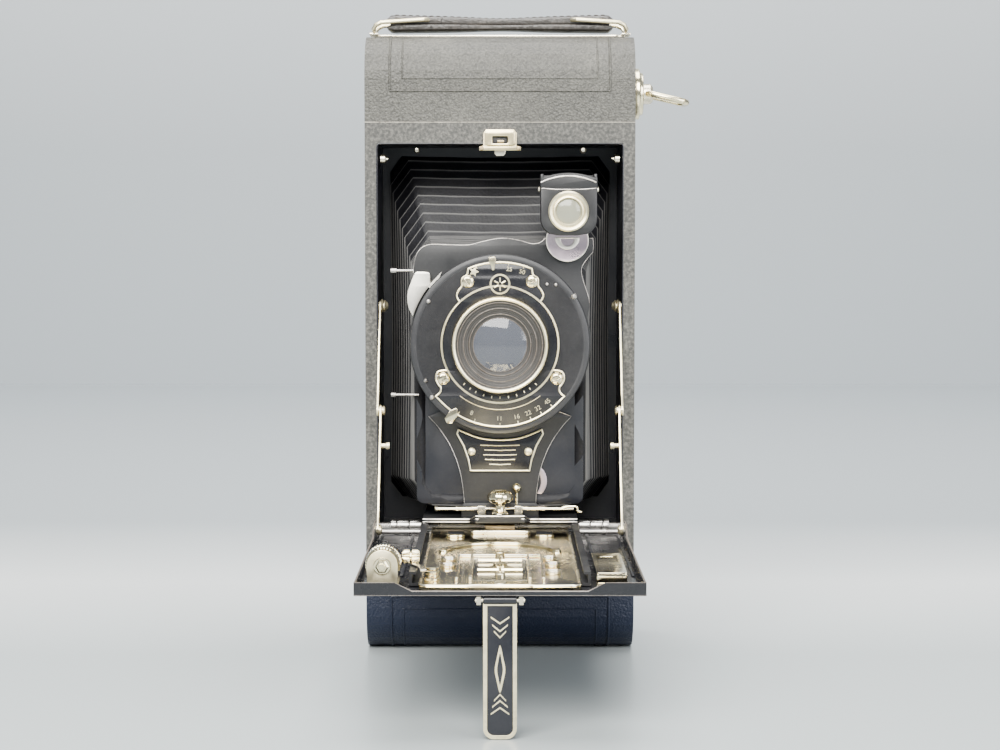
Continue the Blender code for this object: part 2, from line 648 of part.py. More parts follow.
def bellows_ring(half_width, low, high, chamfer, y):
    """Eight corners of one section of the bellows."""
    corners = ((half_width, high, -1, 0), (half_width, high, 0, -1), (half_width, low, 0, 1), (half_width, low, -1, 0),
               (-half_width, low, 1, 0), (-half_width, low, 0, 1), (-half_width, high, 0, -1), (-half_width, high, 1, 0))
    return [((x + dx * chamfer) * MM, y * MM, (z + dz * chamfer) * MM) for x, z, dx, dz in corners]


def make_bellows():
    """A tapered tube between the film gate and the lens board, open at both ends."""
    rear_y, front_y, thickness = WELL_BACK - WELL_WALL - CLEARANCE, BOARD_BACK_Y + CLEARANCE, 4.0
    rings = [bellows_ring(39.6, 47.7, 170.6, 5.0, rear_y), bellows_ring(29.0, 51.0, 138.5, 5.0, front_y),
             bellows_ring(29.0 - thickness, 51.0 + thickness, 138.5 - thickness, 4.0, front_y),
             bellows_ring(39.6 - thickness, 47.7 + thickness, 170.6 - thickness, 4.0, rear_y)]
    mesh = bpy.data.meshes.new("bellows")
    bm = bmesh.new()
    loops = [[bm.verts.new(place) for place in ring] for ring in rings]
    for first, second in zip(loops, loops[1:] + loops[:1]):
        for index in range(8):
            following = (index + 1) % 8
            bm.faces.new((first[index], first[following], second[following], second[index]))
    bmesh.ops.recalc_face_normals(bm, faces=bm.faces)
    bm.to_mesh(mesh)
    bm.free()
    bellows = finish("bellows", mesh, "bellows_leather")
    fold = pivot("bellows_fold", (0, front_y, HINGE_Z))
    hang(bellows, fold)
    return fold


def board_outline():
    """Front view of the lens board: wavy top with a corner for the finder, round middle, narrow neck."""
    left = [(-12.0, 47.8), (-12.6, 58.0), (-14.5, 67.0), (-20.5, 77.5)]
    right = [(-x, z) for x, z in reversed(left)]
    middle = 30.4
    return [*left, *reversed(arc((0, LENS_Z), middle, 155, 238, 9)[:-1]),
            (-28.6, 126.0), (-28.2, 135.6), (-25.2, 139.0), (-10.7, 138.8), (-2.6, 140.6), (5.4, 140.6),
            (11.7, 139.0), (14.4, 141.0), (31.2, 141.0), (31.2, 134.0), (27.2, 130.5), (29.4, 121.0),
            *reversed(arc((0, LENS_Z), middle, -58, 20, 9)[1:]), *right]


def make_shutter(standard):
    """The round leaf shutter with its blades, iris, lens cells and levers."""
    centre = (0, 0, LENS_Z)
    radius = SHUTTER_RADIUS
    pieces = [
        turned("shutter_housing", "Y", centre, [(radius, 38.2), (radius, 30.5), (13.0, 30.5), (13.0, 31.5),
                                                (27.6, 31.5), (27.6, 38.2)], "black_enamel", closed=True, sides=40),
        turned("shutter_face", "Y", centre, [(28.6, 39.3), (radius, 38.5), (9.8, 38.5), (9.8, 39.3)],
               "black_enamel", closed=True, sides=40),
        turned("shutter_blades", "Y", centre, [(0, 34.0), (22.0, 34.0), (22.0, 33.4), (0, 33.4)], "steel", sides=24),
        turned("lens_barrel", "Y", centre, [(15.0, 45.5), (15.8, 45.0), (15.8, 41.2), (19.4, 40.8), (19.4, 39.6),
                                            (9.7, 39.6), (9.7, 43.4), (13.4, 45.5)], "nickel", closed=True, sides=40),
        turned("front_lens", "Y", centre, [(0, 43.6), (5.0, 43.3), (9.3, 42.2), (9.3, 40.0), (0, 40.0)], "glass"),
        turned("rear_cell", "Y", centre, [(12.4, 30.1), (12.4, 26.0), (8.2, 26.0), (8.2, 30.1)], "black_enamel",
               closed=True, sides=24),
    ]
    for piece in pieces:
        hang(piece, standard)

    iris = turned("iris_ring", "Y", centre, [(22.0, 37.0), (22.0, 36.2), (5.0, 36.2), (5.0, 37.0)], "steel",
                  closed=True, sides=24)
    speed = lever("speed_lever", 95.0, 20.2, 29.0, 2.2)
    aperture = lever("aperture_lever", 236.0, 20.2, 31.6, 2.6)
    for piece, name in ((iris, "iris_turn"), (speed, "speed_turn"), (aperture, "aperture_turn")):
        axis = pivot(name, (0, -39.0, LENS_Z))
        hang(axis, standard)
        hang(piece, axis)

    crescent = [*arc((0, LENS_Z), 30.3, 131, 164, 6), (-30.8, 117.4), (-30.6, 122.4), (-28.6, 129.2)]
    release = plate("release_lever", "XZ", crescent, -31.9, -30.6, "nickel")
    axis = pivot("release_hinge", (-22.5, -31.2, 127.5))
    hang(axis, standard)
    hang(release, axis)


def lever(name, degrees, inner, outer, width):
    """A short radial pointer just in front of the shutter's face."""
    turn = math.radians(degrees)
    cos, sin = math.cos(turn), math.sin(turn)
    corners = ((inner, -width / 2), (outer - 1.0, -width / 2), (outer, 0.0), (outer - 1.0, width / 2),
               (inner, width / 2))
    outline = [(r * cos - t * sin, LENS_Z + r * sin + t * cos) for r, t in corners]
    return plate(name, "XZ", outline, -40.3, -39.6, "nickel", smooth=False)


def make_finder(standard):
    swivel = pivot("finder_swivel", (FINDER_PIVOT_X, -32.0, FINDER_PIVOT_Z))
    hang(swivel, standard)
    low, high = FINDER_PIVOT_X - 9.2, FINDER_PIVOT_X + 9.4
    body = box("finder_body", (low, high), (-45.2, -32.4), (141.8, 162.2), "black_enamel", bevel=0.8)
    cut(body, box("finder_inside", (low + 1.2, high - 1.2), (-44.0, -33.6), (143.0, 164.0), helper=True),
        cylinder("finder_bore", "Y", (FINDER_PIVOT_X, -45, 149.8), 4.8, 6, sides=20, helper=True))
    ring = turned("finder_lens", "Y", (FINDER_PIVOT_X, 0, 149.8),
                  [(0, 46.0), (4.2, 46.0), (4.4, 46.4), (6.2, 46.4), (6.6, 46.0), (6.6, 45.5), (4.5, 45.5),
                   (4.5, 44.4), (0, 44.4)], "nickel", sides=24)
    window = box("finder_window", (low + 0.8, high - 0.8), (-44.4, -33.2), (162.5, 163.0), "glass")
    mirror = plate("finder_mirror", "YZ", [(-43.4, 143.4), (-42.6, 143.4), (-34.0, 159.2), (-34.8, 159.2)],
                   low + 1.8, high - 1.8, "glass", smooth=False)
    plate_disc = cylinder("finder_swivel_plate", "Y", (FINDER_PIVOT_X, -31.3, FINDER_PIVOT_Z), 7.1, 1.4, "nickel",
                          sides=24)
    for piece in (body, ring, window, mirror, plate_disc):
        hang(piece, swivel)


def make_standard(fold):
    standard = pivot("standard_pull", (0, BOARD_FRONT_Y, BASE_Z))
    hang(standard, fold)
    base = box("standard_base", (-26, 26), (-35.0, -20.5), (BASE_Z, BASE_Z + 1.2), "black_enamel")
    join(base, box("base_hump", (-7.8, 7.8), (-38.0, -33.0), (BASE_Z, BASE_Z + 2.6), helper=True),
         box("base_tab", (-13, 13), (-31.9, -30.5), (BASE_Z + 0.4, 52.4), helper=True))
    board = plate("lens_board", "XZ", board_outline(), BOARD_FRONT_Y, BOARD_BACK_Y, "black_enamel",
                  holes=[circle((0, LENS_Z), 12.7, 24)])
    rod = cylinder("cross_rod", "X", (2.2, -32.8, 50.6), 0.6, 48.0, "nickel", sides=12)
    for piece in (base, board, rod):
        hang(piece, standard)
    knob = turned("clamp_knob", "Z", (0, -35.4, 0),
                  [(0, 57.6), (2.6, 57.2), (4.4, 56.0), (4.4, 54.8), (2.6, 53.6), (1.4, 53.4), (1.4, 49.2),
                   (0, 49.2)], "nickel", sides=24)
    turn = pivot("clamp_turn", (0, -35.4, 53))
    hang(turn, standard)
    hang(knob, turn)
    make_shutter(standard)
    make_finder(standard)


clear_scene()
PARTS = make_collection("folding_camera")
CUTTERS = make_collection("cutters")
make_body()
make_latch()
make_handle()
make_back()
make_film_transport()
make_bed()
make_braces()
make_standard(make_bellows())
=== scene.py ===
"""Looks of a folding roll-film pocket camera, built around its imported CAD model.

The helpers take millimetres and make objects in metres, in the CAD model's frame:
+Z up, the lens looks along -Y, the origin is the centre of the flat lower end.
"""
import math

import bmesh
import bpy
from mathutils import Matrix, Vector


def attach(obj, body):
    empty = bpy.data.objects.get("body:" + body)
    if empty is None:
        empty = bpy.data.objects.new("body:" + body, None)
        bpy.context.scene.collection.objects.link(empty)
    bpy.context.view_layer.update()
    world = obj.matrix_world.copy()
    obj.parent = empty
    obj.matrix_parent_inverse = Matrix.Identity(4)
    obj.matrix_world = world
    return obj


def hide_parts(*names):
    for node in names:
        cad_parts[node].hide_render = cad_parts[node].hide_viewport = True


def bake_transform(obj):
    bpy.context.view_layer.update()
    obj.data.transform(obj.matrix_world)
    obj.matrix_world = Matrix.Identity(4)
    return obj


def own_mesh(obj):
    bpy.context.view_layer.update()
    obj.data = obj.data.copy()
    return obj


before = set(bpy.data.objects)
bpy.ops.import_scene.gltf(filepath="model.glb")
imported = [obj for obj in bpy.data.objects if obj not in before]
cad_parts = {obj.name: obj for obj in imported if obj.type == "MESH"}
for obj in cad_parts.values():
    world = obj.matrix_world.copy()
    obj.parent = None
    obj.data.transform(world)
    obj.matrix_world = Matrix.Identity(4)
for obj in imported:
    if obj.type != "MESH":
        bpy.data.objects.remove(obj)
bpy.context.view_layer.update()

MM = 0.001
LENS_Z = 106.0                 # height of the lens axis
GENTLE = math.radians(32)      # faces that meet at less than this are shaded smooth


# ---------------------------------------------------------------- camera, light, stage

def make_camera():
    """A long lens at the height of the speed dial, pitched slightly down."""
    data = bpy.data.cameras.new("view")
    data.lens = 77.23
    data.sensor_width = 36.0
    camera = bpy.data.objects.new("view", data)
    bpy.context.scene.collection.objects.link(camera)
    camera.location = (0.0, -0.7472, 0.1419)
    camera.rotation_euler = (math.radians(90 - 3.72), 0, 0)
    bpy.context.scene.camera = camera


def area_light(name, place, aim, size, power, colour):
    data = bpy.data.lights.new(name, "AREA")
    data.shape = "RECTANGLE"
    data.size, data.size_y = size
    data.energy = power
    data.color = colour
    light = bpy.data.objects.new(name, data)
    bpy.context.scene.collection.objects.link(light)
    light.location = place
    light.rotation_euler = (Vector(aim) - Vector(place)).to_track_quat("-Z", "Y").to_euler()


def make_lights():
    area_light("key_light", (-0.25, -1.0, 0.85), (0, -0.05, 0.12), (1.1, 0.7), 60, (1.0, 0.985, 0.94))
    area_light("fill_light", (0.85, -0.85, 0.5), (0, 0, 0.12), (0.7, 0.7), 17, (1.0, 1.0, 1.0))
    area_light("top_light", (0.0, 0.05, 1.05), (0, 0, 0.1), (0.8, 0.6), 20, (1.0, 0.99, 0.96))
    area_light("back_light", (0.0, 0.45, 0.9), (0, 1.2, 0.25), (1.6, 0.3), 9, (0.93, 0.97, 1.0))
    world = bpy.data.worlds.new("room")
    world.use_nodes = True
    world.node_tree.nodes["Background"].inputs["Color"].default_value = (0.76, 0.83, 0.93, 1)
    world.node_tree.nodes["Background"].inputs["Strength"].default_value = 0.52
    bpy.context.scene.world = world


# ---------------------------------------------------------------- materials

def start_material(name, colour, roughness, metallic=0.0):
    """A node material with its Principled shader's constant values set."""
    material = bpy.data.materials.new(name)
    material.use_nodes = True
    tree = material.node_tree
    shader = tree.nodes["Principled BSDF"]
    shader.inputs["Base Color"].default_value = (*colour, 1)
    shader.inputs["Roughness"].default_value = roughness
    shader.inputs["Metallic"].default_value = metallic
    material.diffuse_color = (*colour, 1)
    return material, tree, shader


def pattern(tree, kind, scale, **values):
    """A texture node on object coordinates in metres; scale is in features a metre."""
    coords = tree.nodes.new("ShaderNodeTexCoord")
    texture = tree.nodes.new(kind)
    tree.links.new(coords.outputs["Object"], texture.inputs["Vector"])
    texture.inputs["Scale"].default_value = scale
    for key, value in values.items():
        if key in texture.inputs:
            texture.inputs[key].default_value = value
    return texture


def ramp(tree, source, *stops):
    """A colour ramp with (position, colour) stops."""
    node = tree.nodes.new("ShaderNodeValToRGB")
    elements = node.color_ramp.elements
    while len(elements) < len(stops):
        elements.new(0.5)
    for element, (position, colour) in zip(elements, stops):
        element.position = position
        element.color = (*colour, 1) if len(colour) == 3 else colour
    tree.links.new(source, node.inputs["Fac"])
    return node


def grey(value):
    return (value, value, value)


def add_bump(tree, shader, source, strength, distance, previous=None):
    bump = tree.nodes.new("ShaderNodeBump")
    bump.inputs["Strength"].default_value = strength
    bump.inputs["Distance"].default_value = distance
    tree.links.new(source, bump.inputs["Height"])
    if previous is not None:
        tree.links.new(previous.outputs["Normal"], bump.inputs["Normal"])
    tree.links.new(bump.outputs["Normal"], shader.inputs["Normal"])
    return bump


def ridge_wear_and_highlight(tree, shader, base, worn, low, high):
    """Mix a paler colour in along the ridges, which the mesh marks in an attribute: partly rubbed wear,
    partly a painted highlight on the ridge tops.
    """
    ridge = tree.nodes.new("ShaderNodeAttribute")
    ridge.attribute_name = "ridge"
    mask = ramp(tree, ridge.outputs["Fac"], (low, grey(0)), (high, grey(1)))
    mix = tree.nodes.new("ShaderNodeMix")
    mix.data_type = "RGBA"
    tree.links.new(mask.outputs["Color"], mix.inputs["Factor"])
    tree.links.new(base, mix.inputs["A"])
    mix.inputs["B"].default_value = (*worn, 1)
    tree.links.new(mix.outputs["Result"], shader.inputs["Base Color"])


def multiplied(tree, first, second):
    """The product of two colours."""
    mix = tree.nodes.new("ShaderNodeMix")
    mix.data_type = "RGBA"
    mix.blend_type = "MULTIPLY"
    mix.inputs["Factor"].default_value = 1.0
    tree.links.new(first, mix.inputs["A"])
    tree.links.new(second, mix.inputs["B"])
    return mix.outputs["Result"]


def painted_foot_shade(tree, base, foot):
    """Painted shade: let the leather turn darker and bluer towards the end that the camera stands on,
    standing in for the bed's shadow and the cool light from the floor.
    """
    geometry = tree.nodes.new("ShaderNodeNewGeometry")
    split = tree.nodes.new("ShaderNodeSeparateXYZ")
    spread = tree.nodes.new("ShaderNodeMapRange")
    mix = tree.nodes.new("ShaderNodeMix")
    mix.data_type = "RGBA"
    spread.inputs["From Min"].default_value = 0.026
    spread.inputs["From Max"].default_value = 0.085
    tree.links.new(geometry.outputs["Position"], split.inputs["Vector"])
    tree.links.new(split.outputs["Z"], spread.inputs["Value"])
    tree.links.new(spread.outputs["Result"], mix.inputs["Factor"])
    tree.links.new(base, mix.inputs["B"])
    mix.inputs["A"].default_value = (*foot, 1)
    return mix.outputs["Result"]


def leather(name, colour, grain, roughness, depth=0.0002, worn=None, light=1.6, gloss=0.5, foot=None):
    """Grained leather: pebbles with creased walls, uneven dye and fine pores, with painted shade in the
    hollows between the pebbles and in the creases; with foot given, painted shade towards the lower end.
    """
    material, tree, shader = start_material(name, colour, roughness)
    shader.inputs["Specular IOR Level"].default_value = gloss
    cells = pattern(tree, "ShaderNodeTexVoronoi", grain, Randomness=1.0)
    cells.feature = "SMOOTH_F1"
    creases = pattern(tree, "ShaderNodeTexNoise", grain * 0.8, Detail=3.0, Distortion=1.2)
    pores = pattern(tree, "ShaderNodeTexNoise", grain * 3.1, Detail=3.0)
    dye = pattern(tree, "ShaderNodeTexNoise", 38.0, Detail=5.0, Roughness=0.65)
    dark = tuple(part * 0.7 for part in colour)
    bright = tuple(min(1.0, part * light) for part in colour)
    tone = ramp(tree, dye.outputs["Fac"], (0.3, dark), (0.55, colour), (0.78, bright))
    # painted shade: darker in the hollows between the pebbles, where the bump makes the surface low
    hollow_shade = ramp(tree, cells.outputs["Distance"], (0.1, grey(1.0)), (0.7, grey(0.45)))
    shade = ramp(tree, creases.outputs["Fac"], (0.35, grey(0.6)), (0.6, grey(1.0)))
    mixed = multiplied(tree, multiplied(tree, tone.outputs["Color"], hollow_shade.outputs["Color"]),
                       shade.outputs["Color"])
    # painted shade: with foot given, the leather turns darker and bluer towards the lower end
    if foot:
        mixed = painted_foot_shade(tree, mixed, foot)
    # paler ridges: partly rubbed wear, partly a painted highlight
    if worn:
        ridge_wear_and_highlight(tree, shader, mixed, worn, 0.35, 0.95)
    else:
        tree.links.new(mixed, shader.inputs["Base Color"])
    first = add_bump(tree, shader, cells.outputs["Distance"], 1.0, -depth)
    second = add_bump(tree, shader, creases.outputs["Fac"], 0.8, depth, first)
    add_bump(tree, shader, pores.outputs["Fac"], 0.4, depth * 0.4, second)
    rough = ramp(tree, dye.outputs["Fac"], (0.25, grey(roughness - 0.12)), (0.8, grey(roughness + 0.1)))
    tree.links.new(rough.outputs["Color"], shader.inputs["Roughness"])
    return material


def speckled_paint():
    """The front frame's wrinkle finish: dark with soft pale mottling."""
    colour = (0.056, 0.054, 0.047)
    material, tree, shader = start_material("speckled_paint", colour, 0.55)
    specks = pattern(tree, "ShaderNodeTexNoise", 950.0, Detail=3.0, Roughness=0.6)
    patches = pattern(tree, "ShaderNodeTexNoise", 60.0, Detail=3.0)
    tone = ramp(tree, specks.outputs["Fac"], (0.34, (0.026, 0.026, 0.023)), (0.5, colour),
                (0.66, (0.115, 0.11, 0.096)))
    shade = ramp(tree, patches.outputs["Fac"], (0.3, grey(0.85)), (0.7, grey(1.0)))
    tree.links.new(multiplied(tree, tone.outputs["Color"], shade.outputs["Color"]),
                   shader.inputs["Base Color"])
    add_bump(tree, shader, specks.outputs["Fac"], 0.6, 0.00018)
    return material


def enamel(name, colour=(0.010, 0.010, 0.012), roughness=0.3, dust=0.035):
    """Stoved black paint with dust, faint unevenness and fine scratches."""
    material, tree, shader = start_material(name, colour, roughness)
    specks = pattern(tree, "ShaderNodeTexNoise", 900.0, Detail=4.0, Roughness=0.8)
    film = pattern(tree, "ShaderNodeTexNoise", 70.0, Detail=4.0)
    pale = tuple(part + dust for part in colour)
    soft = tuple(part + dust * 0.25 for part in colour)
    tone = ramp(tree, specks.outputs["Fac"], (0.45, colour), (0.62, soft), (0.8, pale))
    tree.links.new(tone.outputs["Color"], shader.inputs["Base Color"])
    rough = ramp(tree, film.outputs["Fac"], (0.3, grey(max(0.05, roughness - 0.08))),
                 (0.75, grey(roughness + 0.2)))
    tree.links.new(rough.outputs["Color"], shader.inputs["Roughness"])
    first = add_bump(tree, shader, film.outputs["Fac"], 0.12, 0.0003)
    add_bump(tree, shader, specks.outputs["Fac"], 0.12, 0.0001, first)
    return material


def plated(name, colour=(0.80, 0.765, 0.69), roughness=0.22, tarnish=(0.42, 0.36, 0.27), spots=0.66):
    """Old nickel plate: warm, softly scratched, with tarnish in patches."""
    material, tree, shader = start_material(name, colour, roughness, 1.0)
    stain = pattern(tree, "ShaderNodeTexNoise", 240.0, Detail=7.0, Roughness=0.7)
    broad = pattern(tree, "ShaderNodeTexNoise", 45.0, Detail=3.0)
    scratch = pattern(tree, "ShaderNodeTexNoise", 1400.0, Detail=2.0)
    tone = ramp(tree, stain.outputs["Fac"], (0.44, colour), (spots, tuple(c * 0.78 for c in colour)),
                (spots + 0.1, tarnish))
    tree.links.new(tone.outputs["Color"], shader.inputs["Base Color"])
    rough = ramp(tree, broad.outputs["Fac"], (0.3, grey(max(0.04, roughness - 0.08))),
                 (0.75, grey(roughness + 0.16)))
    tree.links.new(rough.outputs["Color"], shader.inputs["Roughness"])
    add_bump(tree, shader, scratch.outputs["Fac"], 0.12, 0.00006)
    return material


def glass(name, colour, roughness=0.02, transmission=1.0):
    material, tree, shader = start_material(name, colour, roughness)
    shader.inputs["Transmission Weight"].default_value = transmission
    shader.inputs["IOR"].default_value = 1.5
    smudge = pattern(tree, "ShaderNodeTexNoise", 180.0, Detail=4.0)
    rough = ramp(tree, smudge.outputs["Fac"], (0.45, grey(roughness)), (0.8, grey(roughness + 0.12)))
    tree.links.new(rough.outputs["Color"], shader.inputs["Roughness"])
    return material


def stage_with_painted_light(name, axis, low, high, roughness, *stops):
    """A pale stage colour that changes softly with height or depth: painted light, paler and darker bands
    standing in for how the studio light falls on the stage.
    """
    material, tree, shader = start_material(name, stops[0][1], roughness)
    geometry = tree.nodes.new("ShaderNodeNewGeometry")
    split = tree.nodes.new("ShaderNodeSeparateXYZ")
    spread = tree.nodes.new("ShaderNodeMapRange")
    tree.links.new(geometry.outputs["Position"], split.inputs["Vector"])
    tree.links.new(split.outputs[axis], spread.inputs["Value"])
    spread.inputs["From Min"].default_value = low
    spread.inputs["From Max"].default_value = high
    tone = ramp(tree, spread.outputs["Result"], *stops)
    tree.links.new(tone.outputs["Color"], shader.inputs["Base Color"])
    return material


# ---------------------------------------------------------------- shape helpers

def put(name, mesh, material, body, replaces=(), smooth=True):
    """Link a mesh as a piece that rides on a body."""
    obj = bpy.data.objects.new(name, mesh)
    bpy.context.scene.collection.objects.link(obj)
    mesh.materials.clear()
    mesh.materials.append(material)
    if smooth:
        mesh.shade_smooth()
        mesh.set_sharp_from_angle(angle=GENTLE)
    if body is not None:
        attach(obj, body)
    if replaces:
        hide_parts(*replaces)
    return obj


AXIS_TURN = {"X": Matrix.Rotation(math.radians(90), 4, "Y"),
             "Y": Matrix.Rotation(math.radians(90), 4, "X"),
             "Z": Matrix.Identity(4)}
PLANES = {"XY": Matrix(((1, 0, 0, 0), (0, 1, 0, 0), (0, 0, 1, 0), (0, 0, 0, 1))),
          "XZ": Matrix(((1, 0, 0, 0), (0, 0, -1, 0), (0, 1, 0, 0), (0, 0, 0, 1))),
          "YZ": Matrix(((0, 0, 1, 0), (1, 0, 0, 0), (0, 1, 0, 0), (0, 0, 0, 1)))}
NORMALS = {"XY": Vector((0, 0, 1)), "XZ": Vector((0, 1, 0)), "YZ": Vector((1, 0, 0))}


def revolve(axis, centre, profile, steps=64, closed=False, wave=None):
    """A turned mesh from (radius, height) points; height runs along +X, -Y or +Z.

    wave(angle) scales the outer points' radius, for a knurl.
    """
    bm = bmesh.new()
    place = Matrix.Translation([value * MM for value in centre]) @ AXIS_TURN[axis]
    largest = max(radius for radius, _ in profile)
    rings = []
    for radius, height in profile:
        if radius == 0:
            rings.append([bm.verts.new(place @ Vector((0, 0, height * MM)))])
            continue
        ring = []
        for step in range(steps):
            angle = 2 * math.pi * step / steps
            reach = radius
            if wave and radius > largest * 0.9:
                reach *= wave(angle)
            ring.append(bm.verts.new(place @ Vector((reach * math.cos(angle) * MM,
                                                     reach * math.sin(angle) * MM,
                                                     height * MM))))
        rings.append(ring)
    pairs = list(zip(rings, rings[1:]))
    if closed:
        pairs.append((rings[-1], rings[0]))
    for first, second in pairs:
        for step in range(steps):
            following = (step + 1) % steps
            corners = [first[step % len(first)], second[step % len(second)],
                       second[following % len(second)], first[following % len(first)]]
            unique = list(dict.fromkeys(corners))
            if len(unique) > 2:
                bm.faces.new(unique)
    bmesh.ops.recalc_face_normals(bm, faces=bm.faces)
    mesh = bpy.data.meshes.new("turned")
    bm.to_mesh(mesh)
    bm.free()
    return mesh


def from_curve(curve, matrix=Matrix.Identity(4)):
    """The mesh of a curve, welded and facing outwards."""
    obj = bpy.data.objects.new("outline", curve)
    bpy.context.scene.collection.objects.link(obj)
    obj.matrix_world = matrix
    bpy.context.view_layer.update()
    evaluated = obj.evaluated_get(bpy.context.evaluated_depsgraph_get())
    mesh = bpy.data.meshes.new_from_object(evaluated)
    mesh.transform(matrix)
    bpy.data.objects.remove(obj)
    bpy.data.curves.remove(curve)
    bm = bmesh.new()
    bm.from_mesh(mesh)
    bmesh.ops.remove_doubles(bm, verts=bm.verts, dist=0.000002)
    bmesh.ops.recalc_face_normals(bm, faces=bm.faces)
    bm.to_mesh(mesh)
    bm.free()
    return mesh


def sheet_metal(plane, outline, start, end, holes=(), edge=0.12):
    """A flat outline with holes and softly rounded edges, between two coordinates along its normal."""
    curve = bpy.data.curves.new("sheet", "CURVE")
    curve.dimensions = "2D"
    curve.fill_mode = "BOTH"
    edge = min(edge, (end - start) * 0.4)
    curve.extrude = ((end - start) / 2 - edge) * MM
    curve.bevel_depth = edge * MM
    curve.bevel_resolution = 1
    curve.offset = -edge * MM
    for loop in (outline, *holes):
        spline = curve.splines.new("POLY")
        spline.points.add(len(loop) - 1)
        for point, (u, v) in zip(spline.points, loop):
            point.co = (u * MM, v * MM, 0.0, 1.0)
        spline.use_cyclic_u = True
    middle = (start + end) / 2 * MM
    return from_curve(curve, Matrix.Translation(NORMALS[plane] * middle) @ PLANES[plane])


def rod(points, radius, cyclic=False, resolution=4):
    """A round rod or wire through points, with filled ends."""
    curve = bpy.data.curves.new("rod", "CURVE")
    curve.dimensions = "3D"
    curve.bevel_depth = radius * MM
    curve.bevel_resolution = resolution
    curve.use_fill_caps = not cyclic
    spline = curve.splines.new("POLY")
    spline.points.add(len(points) - 1)
    for point, place in zip(spline.points, points):
        point.co = (*[value * MM for value in place], 1.0)
    spline.use_cyclic_u = cyclic
    return from_curve(curve)


def block(x, y, z, bevel=0.3, segments=3):
    """A block with rounded edges between pairs of coordinates."""
    bm = bmesh.new()
    centre = [(low + high) / 2 * MM for low, high in (x, y, z)]
    size = [(high - low) * MM for low, high in (x, y, z)]
    bmesh.ops.create_cube(bm, size=1.0, matrix=Matrix.Translation(centre) @ Matrix.Diagonal((*size, 1.0)))
    bmesh.ops.bevel(bm, geom=list(bm.edges), offset=bevel * MM, segments=segments, affect="EDGES",
                    profile=0.5)
    mesh = bpy.data.meshes.new("block")
    bm.to_mesh(mesh)
    bm.free()
    return mesh


def merged(*meshes):
    """Several meshes as one."""
    bm = bmesh.new()
    for mesh in meshes:
        bm.from_mesh(mesh)
        bpy.data.meshes.remove(mesh)
    joined = bpy.data.meshes.new("joined")
    bm.to_mesh(joined)
    bm.free()
    return joined


def arc(centre, radius, start, end, steps):
    points = []
    for index in range(steps + 1):
        angle = math.radians(start + (end - start) * index / steps)
        points.append((centre[0] + radius * math.cos(angle), centre[1] + radius * math.sin(angle)))
    return points


def circle(centre, radius, sides=32):
    return arc(centre, radius, 0, 360, sides)[:-1]


def rounded(u, v, radius, steps=6):
    """A rectangle with round corners."""
    corners = ((u[1], v[1], 0), (u[0], v[1], 90), (u[0], v[0], 180), (u[1], v[0], 270))
    points = []
    for corner_u, corner_v, start in corners:
        centre = (corner_u - math.copysign(radius, corner_u - sum(u) / 2),
                  corner_v - math.copysign(radius, corner_v - sum(v) / 2))
        points += arc(centre, radius, start, start + 90, steps)
    return points


# ---------------------------------------------------------------- bellows

BELLOWS_REAR_Y = 17.3
BELLOWS_SPLIT_Y = -23.6        # the split between the main folds behind and the spare folds in front
BELLOWS_FRONT_Y = -28.75
REAR_SECTION = (39.5, 48.0, 170.5)      # half width, bottom, top
FRONT_SECTION = (29.0, 51.2, 138.4)


def bellows_section(y):
    """Half width, bottom and top of the bellows at a depth."""
    share = (BELLOWS_REAR_Y - y) / (BELLOWS_REAR_Y - BELLOWS_FRONT_Y)
    share = max(0.0, min(1.0, share))
    return [rear + (front - rear) * share for rear, front in zip(REAR_SECTION, FRONT_SECTION)]


def fold_ring(y, inward, chamfer, sag):
    """Points round one section: straight sides with cut corners, a little uneven as old leather is."""
    half, low, high = bellows_section(y)
    half, low, high = half - inward, low + inward, high - inward
    across, down = chamfer, chamfer * 1.35
    corners = [(half - across, high), (half, high - down), (half, low + down), (half - across, low),
               (-half + across, low), (-half, low + down), (-half, high - down), (-half + across, high)]
    points = []
    steps = (5, 26, 5, 16, 5, 26, 5, 16)
    for index, count in enumerate(steps):
        x0, z0 = corners[index]
        x1, z1 = corners[(index + 1) % 8]
        for step in range(count):
            t = step / count
            x, z = x0 + (x1 - x0) * t, z0 + (z1 - z0) * t
            dip = sag * math.sin(math.pi * t) * (1.0 if count > 10 else 0.0)
            length = math.hypot(x, z - LENS_Z)
            x -= dip * x / length
            z -= dip * (z - LENS_Z) / length
            wobble = 0.16 * math.sin(0.31 * z + 1.7 * y) + 0.14 * math.sin(0.43 * x + 2.3 * y + 1.0)
            points.append(Vector((x, y + wobble * 0.5, z + wobble * 0.4)) * MM)
    return points


def fold_levels(start, end, count, depth, round_off):
    """Depths and inward steps of a run of folds, each ridge and valley rounded by extra sections."""
    levels = []
    pitch = (end - start) / count
    for index in range(count):
        ridge = start + pitch * (index + 0.5)
        levels += [(ridge - pitch * round_off, 0.17 * depth, 5.6), (ridge, 0.0, 6.4),
                   (ridge + pitch * round_off, 0.17 * depth, 5.6)]
        valley = ridge + pitch * 0.5
        if index < count - 1:
            levels += [(valley - pitch * 0.06, depth * 0.93, 2.6), (valley, depth, 2.2),
                       (valley + pitch * 0.06, depth * 0.93, 2.6)]
    return levels


def skin(levels, sag):
    """A leather wall through the sections of a run of folds."""
    bm = bmesh.new()
    mark = bm.verts.layers.float.new("ridge")
    rings = [[bm.verts.new(point) for point in fold_ring(y, inward, chamfer, sag)] for y, inward,
             chamfer in levels]
    for ring, level in zip(rings, levels):
        for vert in ring:
            vert[mark] = 1.0 if level[1] == 0.0 else 0.0
    for first, second in zip(rings, rings[1:]):
        for index in range(len(first)):
            following = (index + 1) % len(first)
            bm.faces.new((first[index], first[following], second[following], second[index]))
    bmesh.ops.recalc_face_normals(bm, faces=bm.faces)
    mesh = bpy.data.meshes.new("folds")
    bm.to_mesh(mesh)
    bm.free()
    return mesh


